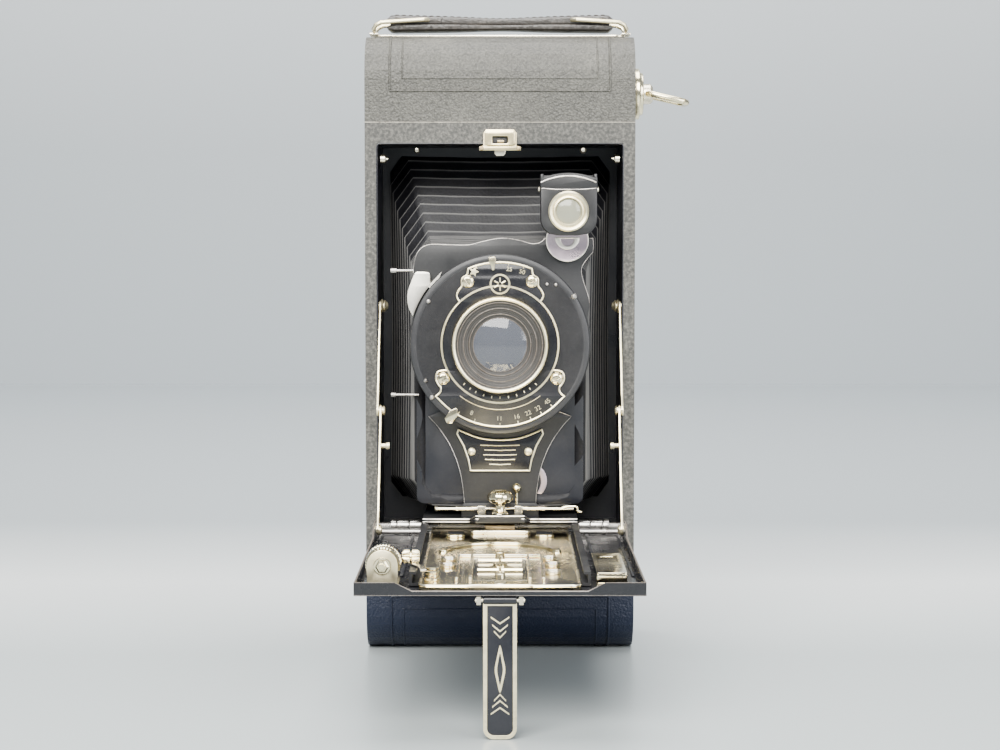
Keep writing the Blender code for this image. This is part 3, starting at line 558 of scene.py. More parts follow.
def solidified(obj, thickness):
    """Give a thin wall its thickness, in the mesh itself."""
    modifier = obj.modifiers.new("wall", "SOLIDIFY")
    modifier.thickness = thickness * MM
    modifier.offset = -1.0
    bpy.context.view_layer.update()
    mesh = bpy.data.meshes.new_from_object(obj.evaluated_get(bpy.context.evaluated_depsgraph_get()))
    obj.modifiers.clear()
    obj.data = mesh
    return obj


def make_bellows():
    depth = 3.9
    rear = [(BELLOWS_REAR_Y, 0.6, 4.0), (BELLOWS_REAR_Y - 0.5, depth * 0.8, 2.6)]
    rear += fold_levels(BELLOWS_REAR_Y - 0.8, BELLOWS_SPLIT_Y, 9, depth, 0.10)
    rear += [(BELLOWS_SPLIT_Y, depth, 2.2)]
    piece = put("bellows_folds", skin(rear, 0.5), LEATHER_BELLOWS, None)
    solidified(piece, 0.5)
    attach(piece, "camera_body")
    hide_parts("bellows")
    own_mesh(piece)
    front = [(BELLOWS_SPLIT_Y, depth, 2.2)]
    front += fold_levels(BELLOWS_SPLIT_Y, BELLOWS_FRONT_Y, 8, depth, 0.14)
    front += [(BELLOWS_FRONT_Y, depth, 2.2)]
    spare = put("bellows_spare_folds", skin(front, 0.0), LEATHER_BELLOWS, None)
    solidified(spare, 0.12)
    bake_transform(spare)
    half, low, high = FRONT_SECTION
    put("bellows_front_plate",
        sheet_metal("XZ", rounded((-half + 1, half - 1), (low + 0.6, high - 0.6), 2.5),
                    BELLOWS_FRONT_Y + 0.1, -28.5,
                    holes=[circle((0, LENS_Z), 12.6)]), BLACK_ENAMEL, "standard")


# ---------------------------------------------------------------- small helpers for the details

def smooth_line(points, steps=6, closed=False):
    """A soft curve through points (Catmull-Rom)."""
    count = len(points)
    spans = count if closed else count - 1
    result = []
    for index in range(spans):
        if closed:
            before, start, end, after = (points[(index + shift) % count] for shift in (-1, 0, 1, 2))
        else:
            before = points[max(index - 1, 0)]
            start, end = points[index], points[index + 1]
            after = points[min(index + 2, count - 1)]
        for step in range(steps):
            t = step / steps
            place = []
            for p0, p1, p2, p3 in zip(before, start, end, after):
                place.append(0.5 * (2 * p1 + (p2 - p0) * t + (2 * p0 - 5 * p1 + 4 * p2 - p3) * t * t
                                    + (3 * p1 - p0 - 3 * p2 + p3) * t ** 3))
            result.append(tuple(place))
    if not closed:
        result.append(tuple(points[-1]))
    return result


def front(points, y):
    """Outline points (x, z) as places at a depth."""
    return [(x, y, z) for x, z in points]


def slotted_screw(centre, radius, height, slot_angle=30.0):
    """A domed screw head facing -Y with a slot across it; the centre is on the surface it clamps."""
    x, y, z = centre
    dome = [(0, height * 0.55), (radius * 0.55, height * 0.55), (radius * 0.62, height),
            (radius * 0.86, height * 0.8),
            (radius, height * 0.4), (radius, 0.0), (0, 0.0)]
    head = revolve("Y", centre, dome, steps=24)
    turn = math.radians(slot_angle)
    reach = radius * 0.6
    halves = []
    for side in (-1, 1):
        arc_points = arc((0, 0), reach, 12 if side > 0 else 192, 168 if side > 0 else 348, 8)
        outline = [(x + u * math.cos(turn) - v * math.sin(turn),
                    z + u * math.sin(turn) + v * math.cos(turn))
                   for u, v in arc_points]
        halves.append(sheet_metal("XZ", outline, y - height * 1.02, y - height * 0.5, edge=0.06))
    return merged(head, *halves)


def numeral(text, centre, size, y, turn=0.0, depth=0.12):
    """A raised number on a dial, facing -Y."""
    curve = bpy.data.curves.new("number", "FONT")
    curve.body = text
    curve.size = size * MM
    curve.align_x = "CENTER"
    curve.align_y = "CENTER"
    curve.extrude = depth * 0.5 * MM
    curve.resolution_u = 3
    place = Matrix.Translation((centre[0] * MM, y * MM,
                                centre[1] * MM)) @ Matrix.Rotation(math.radians(90), 4, "X")
    return from_curve(curve, place @ Matrix.Rotation(math.radians(turn), 4, "Z"))


def polar(radius, degrees):
    """A place on the shutter's face, round the lens axis."""
    turn = math.radians(degrees)
    return radius * math.cos(turn), LENS_Z + radius * math.sin(turn)


# ---------------------------------------------------------------- body

END_CENTRE_Y = -8.0            # centre of the rounding of each end's front edge
END_RADIUS = 15.0
BODY_HEIGHT = 209.5


def end_surface(along_down, upper):
    """Place (y, z) on an end's outside, a distance from the seam side round towards the end."""
    flat = 15.0
    if along_down <= flat:
        y, z = END_CENTRE_Y - END_RADIUS, 30.0 - along_down
    else:
        turn = (along_down - flat) / END_RADIUS
        y, z = END_CENTRE_Y - END_RADIUS * math.cos(turn), END_RADIUS - END_RADIUS * math.sin(turn)
    return y, (BODY_HEIGHT - z if upper else z)


def make_embossing():
    """The double line pressed into the leather of both ends: across the face and on over the round."""
    for name, upper in (("upper_embossing", True), ("lower_embossing", False)):
        lines = []
        for inset, radius in ((0.0, 0.42), (4.2, 0.3)):
            half = 37.0 - inset
            near, far = 10.8 + inset, 15.0 + END_RADIUS * 1.45
            downs = [far + (near - far) * step / 18 for step in range(19)]
            places = [(half, *end_surface(down, upper)) for down in downs]
            places += [(-x, y, z) for x, y, z in reversed(places)]
            lines.append(rod(places, radius, resolution=2))
        put(name, merged(*lines), LEATHER_BODY, "camera_body")


def make_front_frame_details():
    """Beading round the opening, the small rivets and studs at its upper corners."""
    y = -23.0
    opening = rounded((-41.45, 41.45), (41.0, 172.75), 1.2)
    put("opening_bead", rod(front(opening, y + 0.15), 0.28, cyclic=True, resolution=2), BLACK_ENAMEL,
        "camera_body")
    rivets = []
    for x in (-28.0, 28.0):
        rivets.append(revolve("Y", (x, 0, 170.6),
                              [(0, 21.9), (0.6, 21.8), (1.0, 21.2), (1.1, 20.4), (0, 20.4)], 16))
    for side in (-1, 1):
        rivets.append(merged(
            revolve("X", (0, -19.6, 167.7),
                    [(0, side * 38.4), (1.2, side * 38.5), (1.5, side * 38.9), (1.5, side * 40.3),
                                             (0, side * 40.3)], 20),
            revolve("X", (0, -19.6, 167.7),
                    [(0, side * 37.7), (0.5, side * 37.8), (0.7, side * 38.4), (0, side * 38.4)], 16)))
    put("well_studs", merged(*rivets), NICKEL, "camera_body")
    seams = []
    for z in (30.0, 179.85):
        seams.append(block((-45.55, 45.55), (-23.12, -22.6), (z - 0.12, z + 0.16), 0.05, 1))
    put("front_seams", merged(*seams), PALE_EDGE, "camera_body")


def make_latch():
    """The bed's catch plate: a folded nickel plate with a window and its spring tongue."""
    shape = [(-7.0, 170.4), (7.0, 170.4), (7.0, 171.6), (5.6, 172.0), (5.6, 176.2), (4.6, 177.4),
             (-4.6, 177.4),
             (-5.6, 176.2), (-5.6, 172.0), (-7.0, 171.6)]
    window = rounded((-2.7, 2.7), (172.6, 175.3), 0.5, 3)
    face = sheet_metal("XZ", shape, -23.95, -23.35, holes=[window])
    raised = sheet_metal("XZ", rounded((-5.0, 5.0), (172.1, 176.9), 0.9, 4), -24.9, -24.0,
                         holes=[rounded((-2.6, 2.6), (172.7, 175.1), 0.4, 3)], edge=0.3)
    put("latch_cover", merged(face, raised), GOLD_NICKEL, "camera_body", ["latch_plate"])
    inner = sheet_metal("XZ", rounded((-2.3, 2.3), (172.9, 174.4), 0.3, 3), -24.0, -23.7, edge=0.08)
    pins = [revolve("Y", (x, 0, 171.1), [(0, 24.2), (0.5, 24.15), (0.75, 23.95), (0.75, 23.9), (0, 23.9)],
                    16)
            for x in (-6.2, 6.2)]
    put("latch_window_well", inner, DARK_HOLE, "camera_body")
    tab = sheet_metal("XZ", rounded((-0.9, 1.3), (173.1, 173.8), 0.2, 3), -24.1, -23.9, edge=0.06)
    put("latch_rivets", merged(tab, *pins), BRASS, "camera_body")
    put("latch_tongue", sheet_metal("XZ",
                                    [(-1.9, 169.4), (-1.2, 168.6), (1.2, 168.6), (1.9, 169.4),
                                     (1.9, 171.2),
                                           (-1.9, 171.2)], -23.1, -21.6, edge=0.25), NICKEL, "catch",
        ["latch_catch"])


HANDLE_Y = -2.5                # middle of the handle's width
STRAP_HALF = 38.6
STRAP_HALF_WIDTH = 5.0
LOOP_PIVOT_X = 43.2
LOOP_PIVOT_Z = 212.1


def strap_waist(t):
    """How far into the narrower middle a place on the strap is, from 0 to 1."""
    return math.exp(-(t / 0.32) ** 2)


def folded_layer(middle, half_height, ends):
    """One layer of the folded strap: level, rounded, waisted and a little crowned."""
    bm = bmesh.new()
    rings = []
    for step in range(61):
        t = -1 + step / 30
        waist = strap_waist(t)
        close = 1.0 if abs(t) < 0.94 else math.sqrt(max(0.03, 1 - ((abs(t) - 0.94) / 0.0605) ** 2))
        width = STRAP_HALF_WIDTH * (1 - 0.28 * waist) * (0.9 + 0.1 * close)
        tall = half_height * (1 - 0.26 * waist) * close
        level = middle + (ends - middle) * t * t
        ring = []
        for index in range(20):
            turn = 2 * math.pi * index / 20
            across = math.copysign(abs(math.cos(turn)) ** 0.5, math.cos(turn)) * width
            up = math.copysign(abs(math.sin(turn)) ** 0.6, math.sin(turn)) * tall
            ring.append(bm.verts.new(Vector((STRAP_HALF * t, HANDLE_Y + across, level + up)) * MM))
        rings.append(ring)
    for first, second in zip(rings, rings[1:]):
        for index in range(20):
            following = (index + 1) % 20
            bm.faces.new((first[index], first[following], second[following], second[index]))
    bm.faces.new(rings[0])
    bm.faces.new(list(reversed(rings[-1])))
    bmesh.ops.recalc_face_normals(bm, faces=bm.faces)
    mesh = bpy.data.meshes.new("strap")
    bm.to_mesh(mesh)
    bm.free()
    return mesh


def make_handle():
    """Folded leather strap with a narrower middle, its wire loops and their base strip."""
    layers = merged(folded_layer(215.0, 1.75, 215.7), folded_layer(213.2, 1.5, 212.9))
    put("handle_leather", layers, LEATHER_STRAP, "strap", ["handle_strap"])
    stitches = []
    for side in (-1, 1):
        for step in range(-15, 16):
            x = step * 2.35
            t = x / STRAP_HALF
            waist = strap_waist(t)
            y = HANDLE_Y + side * (STRAP_HALF_WIDTH * (1 - 0.28 * waist) - 1.2)
            z = 215.0 + 0.7 * t * t + 1.75 * (1 - 0.26 * waist) - 0.12
            stitches.append(rod([(x - 0.75, y, z - 0.12), (x - 0.4, y, z + 0.05), (x + 0.4, y, z + 0.05),
                                 (x + 0.75, y, z - 0.12)], 0.14, resolution=1))
    put("handle_stitching", merged(*stitches), THREAD, "strap")
    for side, label in ((-1, "left"), (1, "right")):
        near = [(LOOP_PIVOT_X, -5.5, LOOP_PIVOT_Z), (LOOP_PIVOT_X, -8.0, 212.2), (42.4, -8.9, 213.6),
                (40.6, -9.0, 214.5),
                (26.2, -9.0, 215.4), (24.6, -7.6, 215.5)]
        far = [(x, 2 * HANDLE_Y - y, z) for x, y, z in reversed(near)]
        places = [(side * x, y, z) for x, y, z in near + far]
        put("handle_wire_" + label, rod(places, 0.75, cyclic=True), PALE_NICKEL, "loop_" + label,
            ["handle_loop_" + label])
    base = sheet_metal("XY", [*arc((-40.4, -2.5), 3.1, 118, 242, 10), (-38.8, -5.3), (-36, -4.6),
                              (36, -4.6), (38.6, -5.3),
                              *arc((40.0, -2.5), 3.0, -62, 62, 10), (38.6, 0.3), (36, -0.4), (-36, -0.4),
                              (-38.8, 0.3)],
                       209.8, 210.6)
    bearings = []
    for side in (-1, 1):
        for y in (-5.0, 0.0):
            bearings.append(block((side * LOOP_PIVOT_X - 1.5, side * LOOP_PIVOT_X + 1.5),
                                  (y - 1.1, y + 1.1),
                                  (210.4, 211.2), 0.15, 2))
    put("handle_base_strip", merged(base, *bearings), NICKEL, "camera_body", ["handle_plate"])


KEY_Z = 190.7                  # height of the key and the upper spool


def make_key():
    """The winding key: a stepped boss with a slot, its hub and its wire bail stay the solids' size."""
    z = KEY_Z
    profile = [(0, 45.9), (8.7, 45.9), (8.8, 46.2), (8.8, 47.8), (8.5, 48.1), (7.6, 48.2), (7.4, 48.5),
               (7.3, 49.1),
               (7.0, 49.3), (3.6, 49.3), (3.5, 48.4), (0, 48.4)]
    put("key_boss_turning", revolve("X", (0, 0, z), profile, 64), BRIGHT_NICKEL, "camera_body",
        ["key_boss"])
    rim = [(2.4, 49.4), (3.5, 49.6), (3.5, 51.9), (2.9, 52.6), (1.5, 52.8), (0, 52.8)]
    put("key_hub_cap", revolve("X", (0, 0, z), [(0, 49.4), *rim], 40), NICKEL, "key")
    droop = math.radians(13)
    outline = smooth_line(rounded((0.0, 13.6), (-5.2, 5.2), 2.4, 5), 2, closed=True)
    places = [(51.0 + u * math.cos(droop), v, z - u * math.sin(droop)) for u, v in outline]
    put("key_bail_wire", rod(places, 1.05, cyclic=True, resolution=5), BRIGHT_NICKEL, "bail",
        ["key_bail"])


# ---------------------------------------------------------------- bed

HINGE_Y = -22.8
HINGE_Z = 43.4


def ahead(distance):
    """Y of a place on the open bed, at a distance in front of its hinge."""
    return HINGE_Y - distance


def make_bed_details():
    """Rolled edges of the tray, floor ribs, hinge rods, and the worn edge that shows round the bed."""
    edges = []
    for side in (-1, 1):
        x = side * 40.85
        places = [(x, ahead(6.2), 43.2), (x, ahead(9), 44.6), (x, ahead(20), 44.6),
                  (x, ahead(25.8), 48.4),
                  (x, ahead(34.2), 48.4), (x, ahead(40), 44.6), (x, ahead(123.6), 44.6),
                  (x, ahead(127.4), 44.6)]
        edges.append(rod(places, 0.3, resolution=2))
    lip = [(-40.9, ahead(127.7), 44.5), (-29.8, ahead(127.7), 44.5), (-24.8, ahead(127.7), 42.2),
           (24.8, ahead(127.7), 42.2), (29.8, ahead(127.7), 44.5), (40.9, ahead(127.7), 44.5)]
    edges.append(rod(lip, 0.3, resolution=2))
    put("bed_worn_edges", merged(*edges), WORN_BROWN, "bed")
    low = rod([(-41.0, ahead(127.8), 41.15), (41.0, ahead(127.8), 41.15)], 0.22, resolution=2)
    put("bed_lower_edge", low, WORN_BROWN, "bed")
    ribs = []
    for side in (-1, 1):
        for x, width in ((side * 29.0, 1.0), (side * 39.2, 0.8)):
            ribs.append(sheet_metal("XY",
                                    rounded((x - width / 2, x + width / 2), (ahead(98), ahead(9)), 0.35,
                                            3),
                                    41.62, 42.0))
    put("bed_floor_ribs", merged(*ribs), BLACK_ENAMEL, "bed")
    barrels = []
    for side in (-1, 1):
        for inner, outer in ((26.6, 30.6), (30.8, 34.8), (35.0, 37.0)):
            profile = [(1.55, side * inner), (2.25, side * (inner + 0.1)), (2.3, side * (inner + 0.4)),
                       (2.3, side * (outer - 0.4)), (2.25, side * (outer - 0.1)), (1.55, side * outer)]
            barrels.append(revolve("X", (0, HINGE_Y, HINGE_Z), profile, 32, closed=True))
    middle = [(1.55, -26.4), (2.3, -26.1), (2.3, 26.1), (1.55, 26.4)]
    barrels.append(revolve("X", (0, HINGE_Y, HINGE_Z), middle, 32, closed=True))
    put("bed_hinge_barrels", merged(*barrels), DARK_NICKEL, "bed", ["bed_knuckle"])
    second = []
    for side in (-1, 1):
        second.append(rod([(side * 26.8, ahead(8.2), 42.6), (side * 39.6, ahead(8.2), 42.6)], 0.8,
                          resolution=5))
        second.append(rod([(side * 34.4, ahead(8.2), 42.6), (side * 35.4, ahead(8.2), 42.6)], 1.0,
                          resolution=5))
    put("bed_cross_wire", merged(*second), DARK_NICKEL, "bed")


def make_track_details():
    """What sits on the focusing track's bright plate: rim, ribs, arc, lugs and rivets."""
    top = 42.7
    rim_front = [(-22.9, ahead(14)), (-22.9, ahead(119.0)), *arc((-19.6, ahead(119.6)), 3.4, 190, 264, 6),
                 (-9.5, ahead(123.3)), (-7.8, ahead(122.2)), (7.8, ahead(122.2)), (9.5, ahead(123.3)),
                 *arc((19.6, ahead(119.6)), 3.4, -84, -10, 6), (22.9, ahead(119.0)), (22.9, ahead(14))]
    put("track_rim", rod([(x, y, top + 0.25) for x, y in rim_front], 0.42, resolution=3), NICKEL,
        "focus_track")
    dome = [*arc((0, ahead(57)), 19.4, 12, 168, 28), *reversed(arc((0, ahead(57)), 16.6, 8, 172, 28))]
    crescent = sheet_metal("XY", dome, top, top + 0.9, edge=0.4)
    ends = [revolve("Z", (side * 17.9, ahead(57 - 2.0), 0),
                    [(0, top + 1.0), (0.8, top + 0.95), (1.35, top + 0.6),
                                                            (1.5, top), (0, top)], 24) for side in (-1,
                                                                    1)]
    put("track_infinity_arc", merged(crescent, *ends), BRIGHT_NICKEL, "focus_track")
    bar = [*arc((-8.2, ahead(13.2)), 1.9, 90, 270, 10), (-5.8, ahead(14.6)), (5.8, ahead(14.6)),
           *arc((8.2, ahead(13.2)), 1.9, -90, 90, 10), (5.8, ahead(11.8)), (-5.8, ahead(11.8))]
    put("track_stop_bar", sheet_metal("XY", bar, top, top + 1.1, edge=0.4), NICKEL, "focus_track")
    put("track_stop_block", block((-5.0, 5.0), (ahead(9.8), ahead(6.4)), (top, top + 2.3), 0.35, 3),
        BRASS,
        "focus_track")
    oval = []
    for side in (-1, 1):
        outline = [(side * 14.8 + 3.0 * math.cos(turn), ahead(22.0) + 1.7 * math.sin(turn))
                   for turn in [2 * math.pi * step / 28 for step in range(28)]]
        oval.append(sheet_metal("XY", outline, top, top + 0.8, edge=0.3))
    put("track_oval_rivets", merged(*oval), BRIGHT_NICKEL, "focus_track")
    notches = [block((side * 14.8 - 2.6, side * 14.8 + 2.6), (ahead(15.2), ahead(9.2)),
                     (top - 0.02, top + 0.12), 0.05, 1)
               for side in (-1, 1)]
    put("track_notches", merged(*notches), DARK_HOLE, "focus_track")
    lugs = []
    slots = []
    for x, distance in ((-15.6, 74.0), (-15.6, 86.0), (15.0, 72.0), (15.8, 84.0), (15.6, 99.0)):
        outline = [*arc((x, ahead(distance)), 2.3, 180, 360, 14), (x + 2.3, ahead(distance - 2.4)),
                   (x - 2.3, ahead(distance - 2.4))]
        slot = rounded((x - 1.5, x + 1.5), (ahead(distance + 0.4), ahead(distance - 1.2)), 0.5, 3)
        lugs.append(sheet_metal("XY", outline, top, top + 1.1, holes=[slot], edge=0.3))
        slots.append(block((x - 1.5, x + 1.5), (ahead(distance + 0.4), ahead(distance - 1.2)),
                           (top, top + 0.14), 0.05, 1))
    put("track_lugs", merged(*lugs), NICKEL, "focus_track")
    put("track_lug_slots", merged(*slots), DARK_HOLE, "focus_track")
    guides = []
    for side in (-1, 1):
        for x in (side * 8.6, side * 12.6):
            guides.append(sheet_metal("XY",
                                      rounded((x - 0.45, x + 0.45), (ahead(112), ahead(66)), 0.3, 3), top,
                                      top + 1.0, edge=0.25))
    guides.append(sheet_metal("XY", rounded((-13.2, 13.2), (ahead(66.6), ahead(65.4)), 0.4, 3), top,
                              top + 0.9, edge=0.3))
    put("track_guides", merged(*guides), NICKEL, "focus_track")
    well = block((-8.0, 8.0), (ahead(111.0), ahead(67.2)), (top, top + 0.12), 0.05, 1)
    put("track_inlay", well, DARK_MIRROR, "focus_track")
    spine = [revolve("Z", (0, ahead(distance), 0),
                     [(0, height), (radius * 0.6, height - 0.1), (radius, height - 0.5),
                                                    (radius, top), (0, top)], 32)
             for distance, radius,
             height in ((70.0, 1.5, 45.2), (88.0, 3.6, 43.6), (88.0, 2.2, 44.6), (104.0, 1.6, 44.0))]
    bars = [rod([(-6.6, ahead(78), 43.4), (6.6, ahead(78), 43.4)], 0.45, resolution=3),
            rod([(-6.6, ahead(96), 43.4), (6.6, ahead(96), 43.4)], 0.45, resolution=3),
            rod([(0, ahead(71), 43.5), (0, ahead(103), 43.5)], 0.5, resolution=3)]
    put("track_spring_parts", merged(*spine, *bars), BRIGHT_NICKEL, "focus_track")
    stack = []
    for level, radius in enumerate((2.3, 2.1, 2.2, 2.0)):
        low = top + level * 1.05
        stack.append(revolve("Z", (-19.6, ahead(111.5), 0),
                             [(0, low), (radius - 0.2, low), (radius, low + 0.25),
                                                             (radius, low + 0.75),
                                                             (radius - 0.2, low + 0.98),
                                                             (0, low + 0.98)], 28))
    put("track_washer_stack", merged(*stack), BRIGHT_NICKEL, "focus_track")
    lug = [*arc((0, ahead(120.6)), 1.6, 180, 360, 12), (1.6, ahead(118.0)), (-1.6, ahead(118.0))]
    arm = [(-27.4, ahead(102.8)), (-23.6, ahead(110.5)), (-22.6, ahead(118.0)), (-21.0, ahead(117.4)),
           (-21.9, ahead(110.0)), (-25.6, ahead(101.8))]
    put("track_front_lug", merged(sheet_metal("XY", lug, top, top + 0.9, edge=0.3),
                                  sheet_metal("XY", arm, 46.2, 46.9, edge=0.2)), NICKEL, "focus_track")


def make_focus_wheel():
    """The knurled wheel, its hex nut and washer, and its barrel-shaped rear gear."""
    x, z = -33.5, 48.1

    def knurl(angle):
        return 1.0 + 0.022 * math.cos(36 * angle)

    disc = [(0, 116.6), (3.4, 116.6), (3.6, 116.2), (4.5, 116.6), (5.0, 116.1), (5.0, 113.4),
            (4.5, 113.1),
            (4.5, 112.7), (5.0, 112.4), (5.0, 109.5), (4.6, 109.0), (2.2, 109.0), (2.2, 108.2),
            (2.4, 107.0),
            (2.2, 105.6), (0, 105.5)]
    wheel = revolve("Y", (x, HINGE_Y, z), disc, 144, wave=knurl)
    washer = revolve("Y", (x, HINGE_Y, z),
                     [(0, 119.9), (2.3, 119.9), (2.5, 119.7), (2.5, 119.3), (0, 119.3)], 32)
    nut = revolve("Y", (x, HINGE_Y, z),
                  [(0, 121.0), (1.5, 121.0), (1.95, 120.7), (1.95, 119.9), (0, 119.9)], 6)
    stem = revolve("Y", (x, HINGE_Y, z),
                   [(0, 121.2), (0.9, 121.2), (1.0, 121.0), (1.0, 116.5), (0, 116.5)], 20)
    put("focus_wheel_turning", merged(wheel, washer, nut, stem), BRIGHT_NICKEL, "wheel",
        ["focus_wheel"])
    outline = [(-37.9, 41.9), (-29.1, 41.9), *arc((x, 48.3), 4.4, 0, 180, 24)]
    bracket = sheet_metal("XZ", outline, ahead(119.2), ahead(118.4), holes=[circle((x, z), 1.5, 20)],
                          edge=0.2)
    foot = sheet_metal("XY", rounded((-37.9, -29.1), (ahead(118.8), ahead(103)), 0.8, 4), 41.9, 42.6,
                       edge=0.15)
    put("focus_wheel_bracket", merged(bracket, foot), PALE_NICKEL, "bed", ["focus_bracket"])

    def teeth(angle):
        return 0.92 + 0.10 * math.cos(14 * angle)

    gear = revolve("X", (0, ahead(103), 48.4),
                   [(0, -28.5), (1.5, -28.5), (1.9, -28.0), (1.9, -26.4), (1.3, -26.2),
                                                (1.3, -25.8), (1.9, -25.6), (1.9, -24.0), (1.5, -23.5),
                                                (0, -23.5)],
                   84, wave=teeth)
    put("focus_gear", gear, PALE_NICKEL, "pinion", ["focus_pinion"])


def make_scale_plate():
    """The distance scale: a bent bright plate with a window near its rear and numbered lines."""
    window = rounded((30.0, 33.9), (ahead(89.4), ahead(86.6)), 0.4, 3)
    top = sheet_metal("XY", rounded((27.6, 36.3), (ahead(118), ahead(80)), 0.6, 4), 45.4, 46.0,
                      holes=[window], edge=0.15)
    flange = sheet_metal("XZ", rounded((27.6, 36.3), (41.9, 45.6), 0.5, 4), ahead(118), ahead(117.4),
                         edge=0.15)
    put("scale_plate_sheet", merged(top, flange), BRIGHT_NICKEL, "bed", ["scale_plate"])
    ribs = [sheet_metal("XZ", rounded((27.9, 36.0), (z, z + 0.5), 0.2, 3), ahead(118.3), ahead(117.9),
                        edge=0.1)
            for z in (42.6, 44.4)]
    put("scale_flange_ribs", merged(*ribs), GOLD_NICKEL, "bed")
    lines = []
    for step in range(9):
        distance = 93.0 + step * 2.5
        reach = 4.4 if step % 2 else 6.6
        lines.append(block((28.6, 28.6 + reach), (ahead(distance + 0.14), ahead(distance - 0.14)),
                           (45.96, 46.05), 0.02, 1))
    put("scale_lines", merged(*lines), DARK_HOLE, "bed")


def make_leg():
    """The leg: black panel in a raised bright border, with a generic leaf ornament."""
    half, foot = 4.75, 3.0
    outer = [(half, 39.2), (-half, 39.2), *arc((foot - half, foot), foot, 180, 270, 8),
             *arc((half - foot, foot), foot, 270, 360, 8)]
    inner = [(half - 1.15, 38.0), (1.15 - half, 38.0), *arc((foot - half, foot), foot - 1.1, 180, 270, 8),
             *arc((half - foot, foot), foot - 1.1, 270, 360, 8)]
    y = -149.0
    back = sheet_metal("XZ", outer, y - 0.45, y + 0.6, edge=0.15)
    curl = revolve("X", (0, y, 39.6), [(1.05, -half), (1.3, 0.2 - half), (1.3, half - 0.2), (1.05, half)],
                   24, closed=True)
    put("leg_panel", merged(back, curl), BLACK_ENAMEL, "leg", ["leg"])
    border = sheet_metal("XZ", outer, y - 0.6, y - 0.46, holes=[inner], edge=0.05)
    put("leg_border", border, PALE_NICKEL, "leg")
    marks = []
    for level, (z, reach) in enumerate(((33.6, 2.6), (31.4, 2.2), (29.6, 1.7), (11.6, 1.7), (9.8, 2.2),
                                        (7.8, 2.6))):
        lift = 0.9 if level < 3 else -0.9
        chevron = [(-reach, z + lift), (0, z - lift), (reach, z + lift), (reach, z + lift + 0.5),
                   (0, z - lift + 0.5),
                   (-reach, z + lift + 0.5)]
        marks.append(sheet_metal("XZ", chevron, y - 0.56, y - 0.44, edge=0.04))
    leaf = [(0, 26.8), (0.9, 23.2), (1.5, 19.8), (0.9, 16.4), (0, 13.2), (-0.9, 16.4), (-1.5, 19.8),
            (-0.9, 23.2)]
    hole = [(u * 0.55, 19.95 + (v - 19.95) * 0.66) for u, v in leaf]
    marks.append(sheet_metal("XZ", smooth_line(leaf, 4, True), y - 0.56, y - 0.44,
                             holes=[smooth_line(hole, 4, True)], edge=0.04))
    put("leg_ornament", merged(*marks), PALE_NICKEL, "leg")


# ---------------------------------------------------------------- braces

def make_braces():
    """Flat links with swelling ends, washers and rivets, bent as the real ones are."""
    top, foot = (-17.5, 118.0), (ahead(30), 46.2)
    share = 0.4775
    middle = tuple(a + (b - a) * share for a, b in zip(top, foot))

    def swelling_link(start, end, x, sheet):
        length = math.hypot(end[0] - start[0], end[1] - start[1])
        ux, uz = (end[0] - start[0]) / length, (end[1] - start[1]) / length
        stations = 26
        sides = ([], [])
        for step in range(stations + 1):
            t = step / stations
            near = min(t, 1 - t) * length
            width = 1.15 + 0.65 * math.exp(-(near / 3.2) ** 2)
            px, pz = start[0] + (end[0] - start[0]) * t, start[1] + (end[1] - start[1]) * t
            for sign, line in ((1, sides[0]), (-1, sides[1])):
                line.append((px - uz * width * sign, pz + ux * width * sign))
        angle = math.degrees(math.atan2(uz, ux))
        outline = [*sides[1], *arc(end, 1.8, angle - 80, angle + 80, 8), *reversed(sides[0]),
                   *arc(start, 1.8, angle + 100, angle + 260, 8)]
        low, high = sorted((x, x + sheet))
        return sheet_metal("YZ", outline, low, high, edge=0.18)

    for side, label in ((-1, "left"), (1, "right")):
        upper = swelling_link(top, middle, side * 40.4, side * 0.7)
        stud = revolve("X", (0, *top),
                       [(0, side * 41.3), (1.0, side * 41.3), (1.0, side * 39.4), (1.9, side * 39.4),
                                        (2.0, side * 39.1), (1.4, side * 38.6), (1.1, side * 38.1),
                                        (0, side * 37.9)], 28)
        collar = revolve("X", (0, *top),
                         [(0, side * 40.35), (2.2, side * 40.35), (2.3, side * 40.1), (2.0, side * 39.7),
                                          (0, side * 39.7)], 28)
        put("brace_upper_arm_" + label, merged(upper, stud, collar), PALE_NICKEL, "upper_brace_" + label,
            ["brace_upper_" + label])
        lower = swelling_link(foot, middle, side * 39.4, side * 0.7)
        rivet = revolve("X", (0, *middle),
                        [(0, side * 40.4), (1.2, side * 40.4), (1.2, side * 39.0), (1.7, side * 38.9),
                                            (1.5, side * 38.5), (0.8, side * 38.2), (0, side * 38.15)],
                                            24)
        pin = revolve("X", (0, *foot),
                      [(0, side * 40.3), (1.4, side * 40.3), (1.4, side * 39.3), (1.8, side * 39.2),
                                        (1.6, side * 38.7), (0.9, side * 38.4), (0, side * 38.35)], 24)
        near_middle = tuple(a + (b - a) * 0.30 for a, b in zip(middle, foot))
        catch = revolve("X", (0, *near_middle), [(0, side * 39.5), (0.8, side * 39.5), (0.8, side * 37.8),
                                                 (1.1, side * 37.6), (1.1, side * 36.6),
                                                 (0, side * 36.5)], 20)
        put("brace_lower_arm_" + label, merged(lower, rivet, pin, catch), PALE_NICKEL,
            "lower_brace_" + label,
            ["brace_lower_" + label])


# ---------------------------------------------------------------- standard, shutter, finder

BOARD_FRONT_Y = -30.2
BOARD_BACK_Y = -29.0


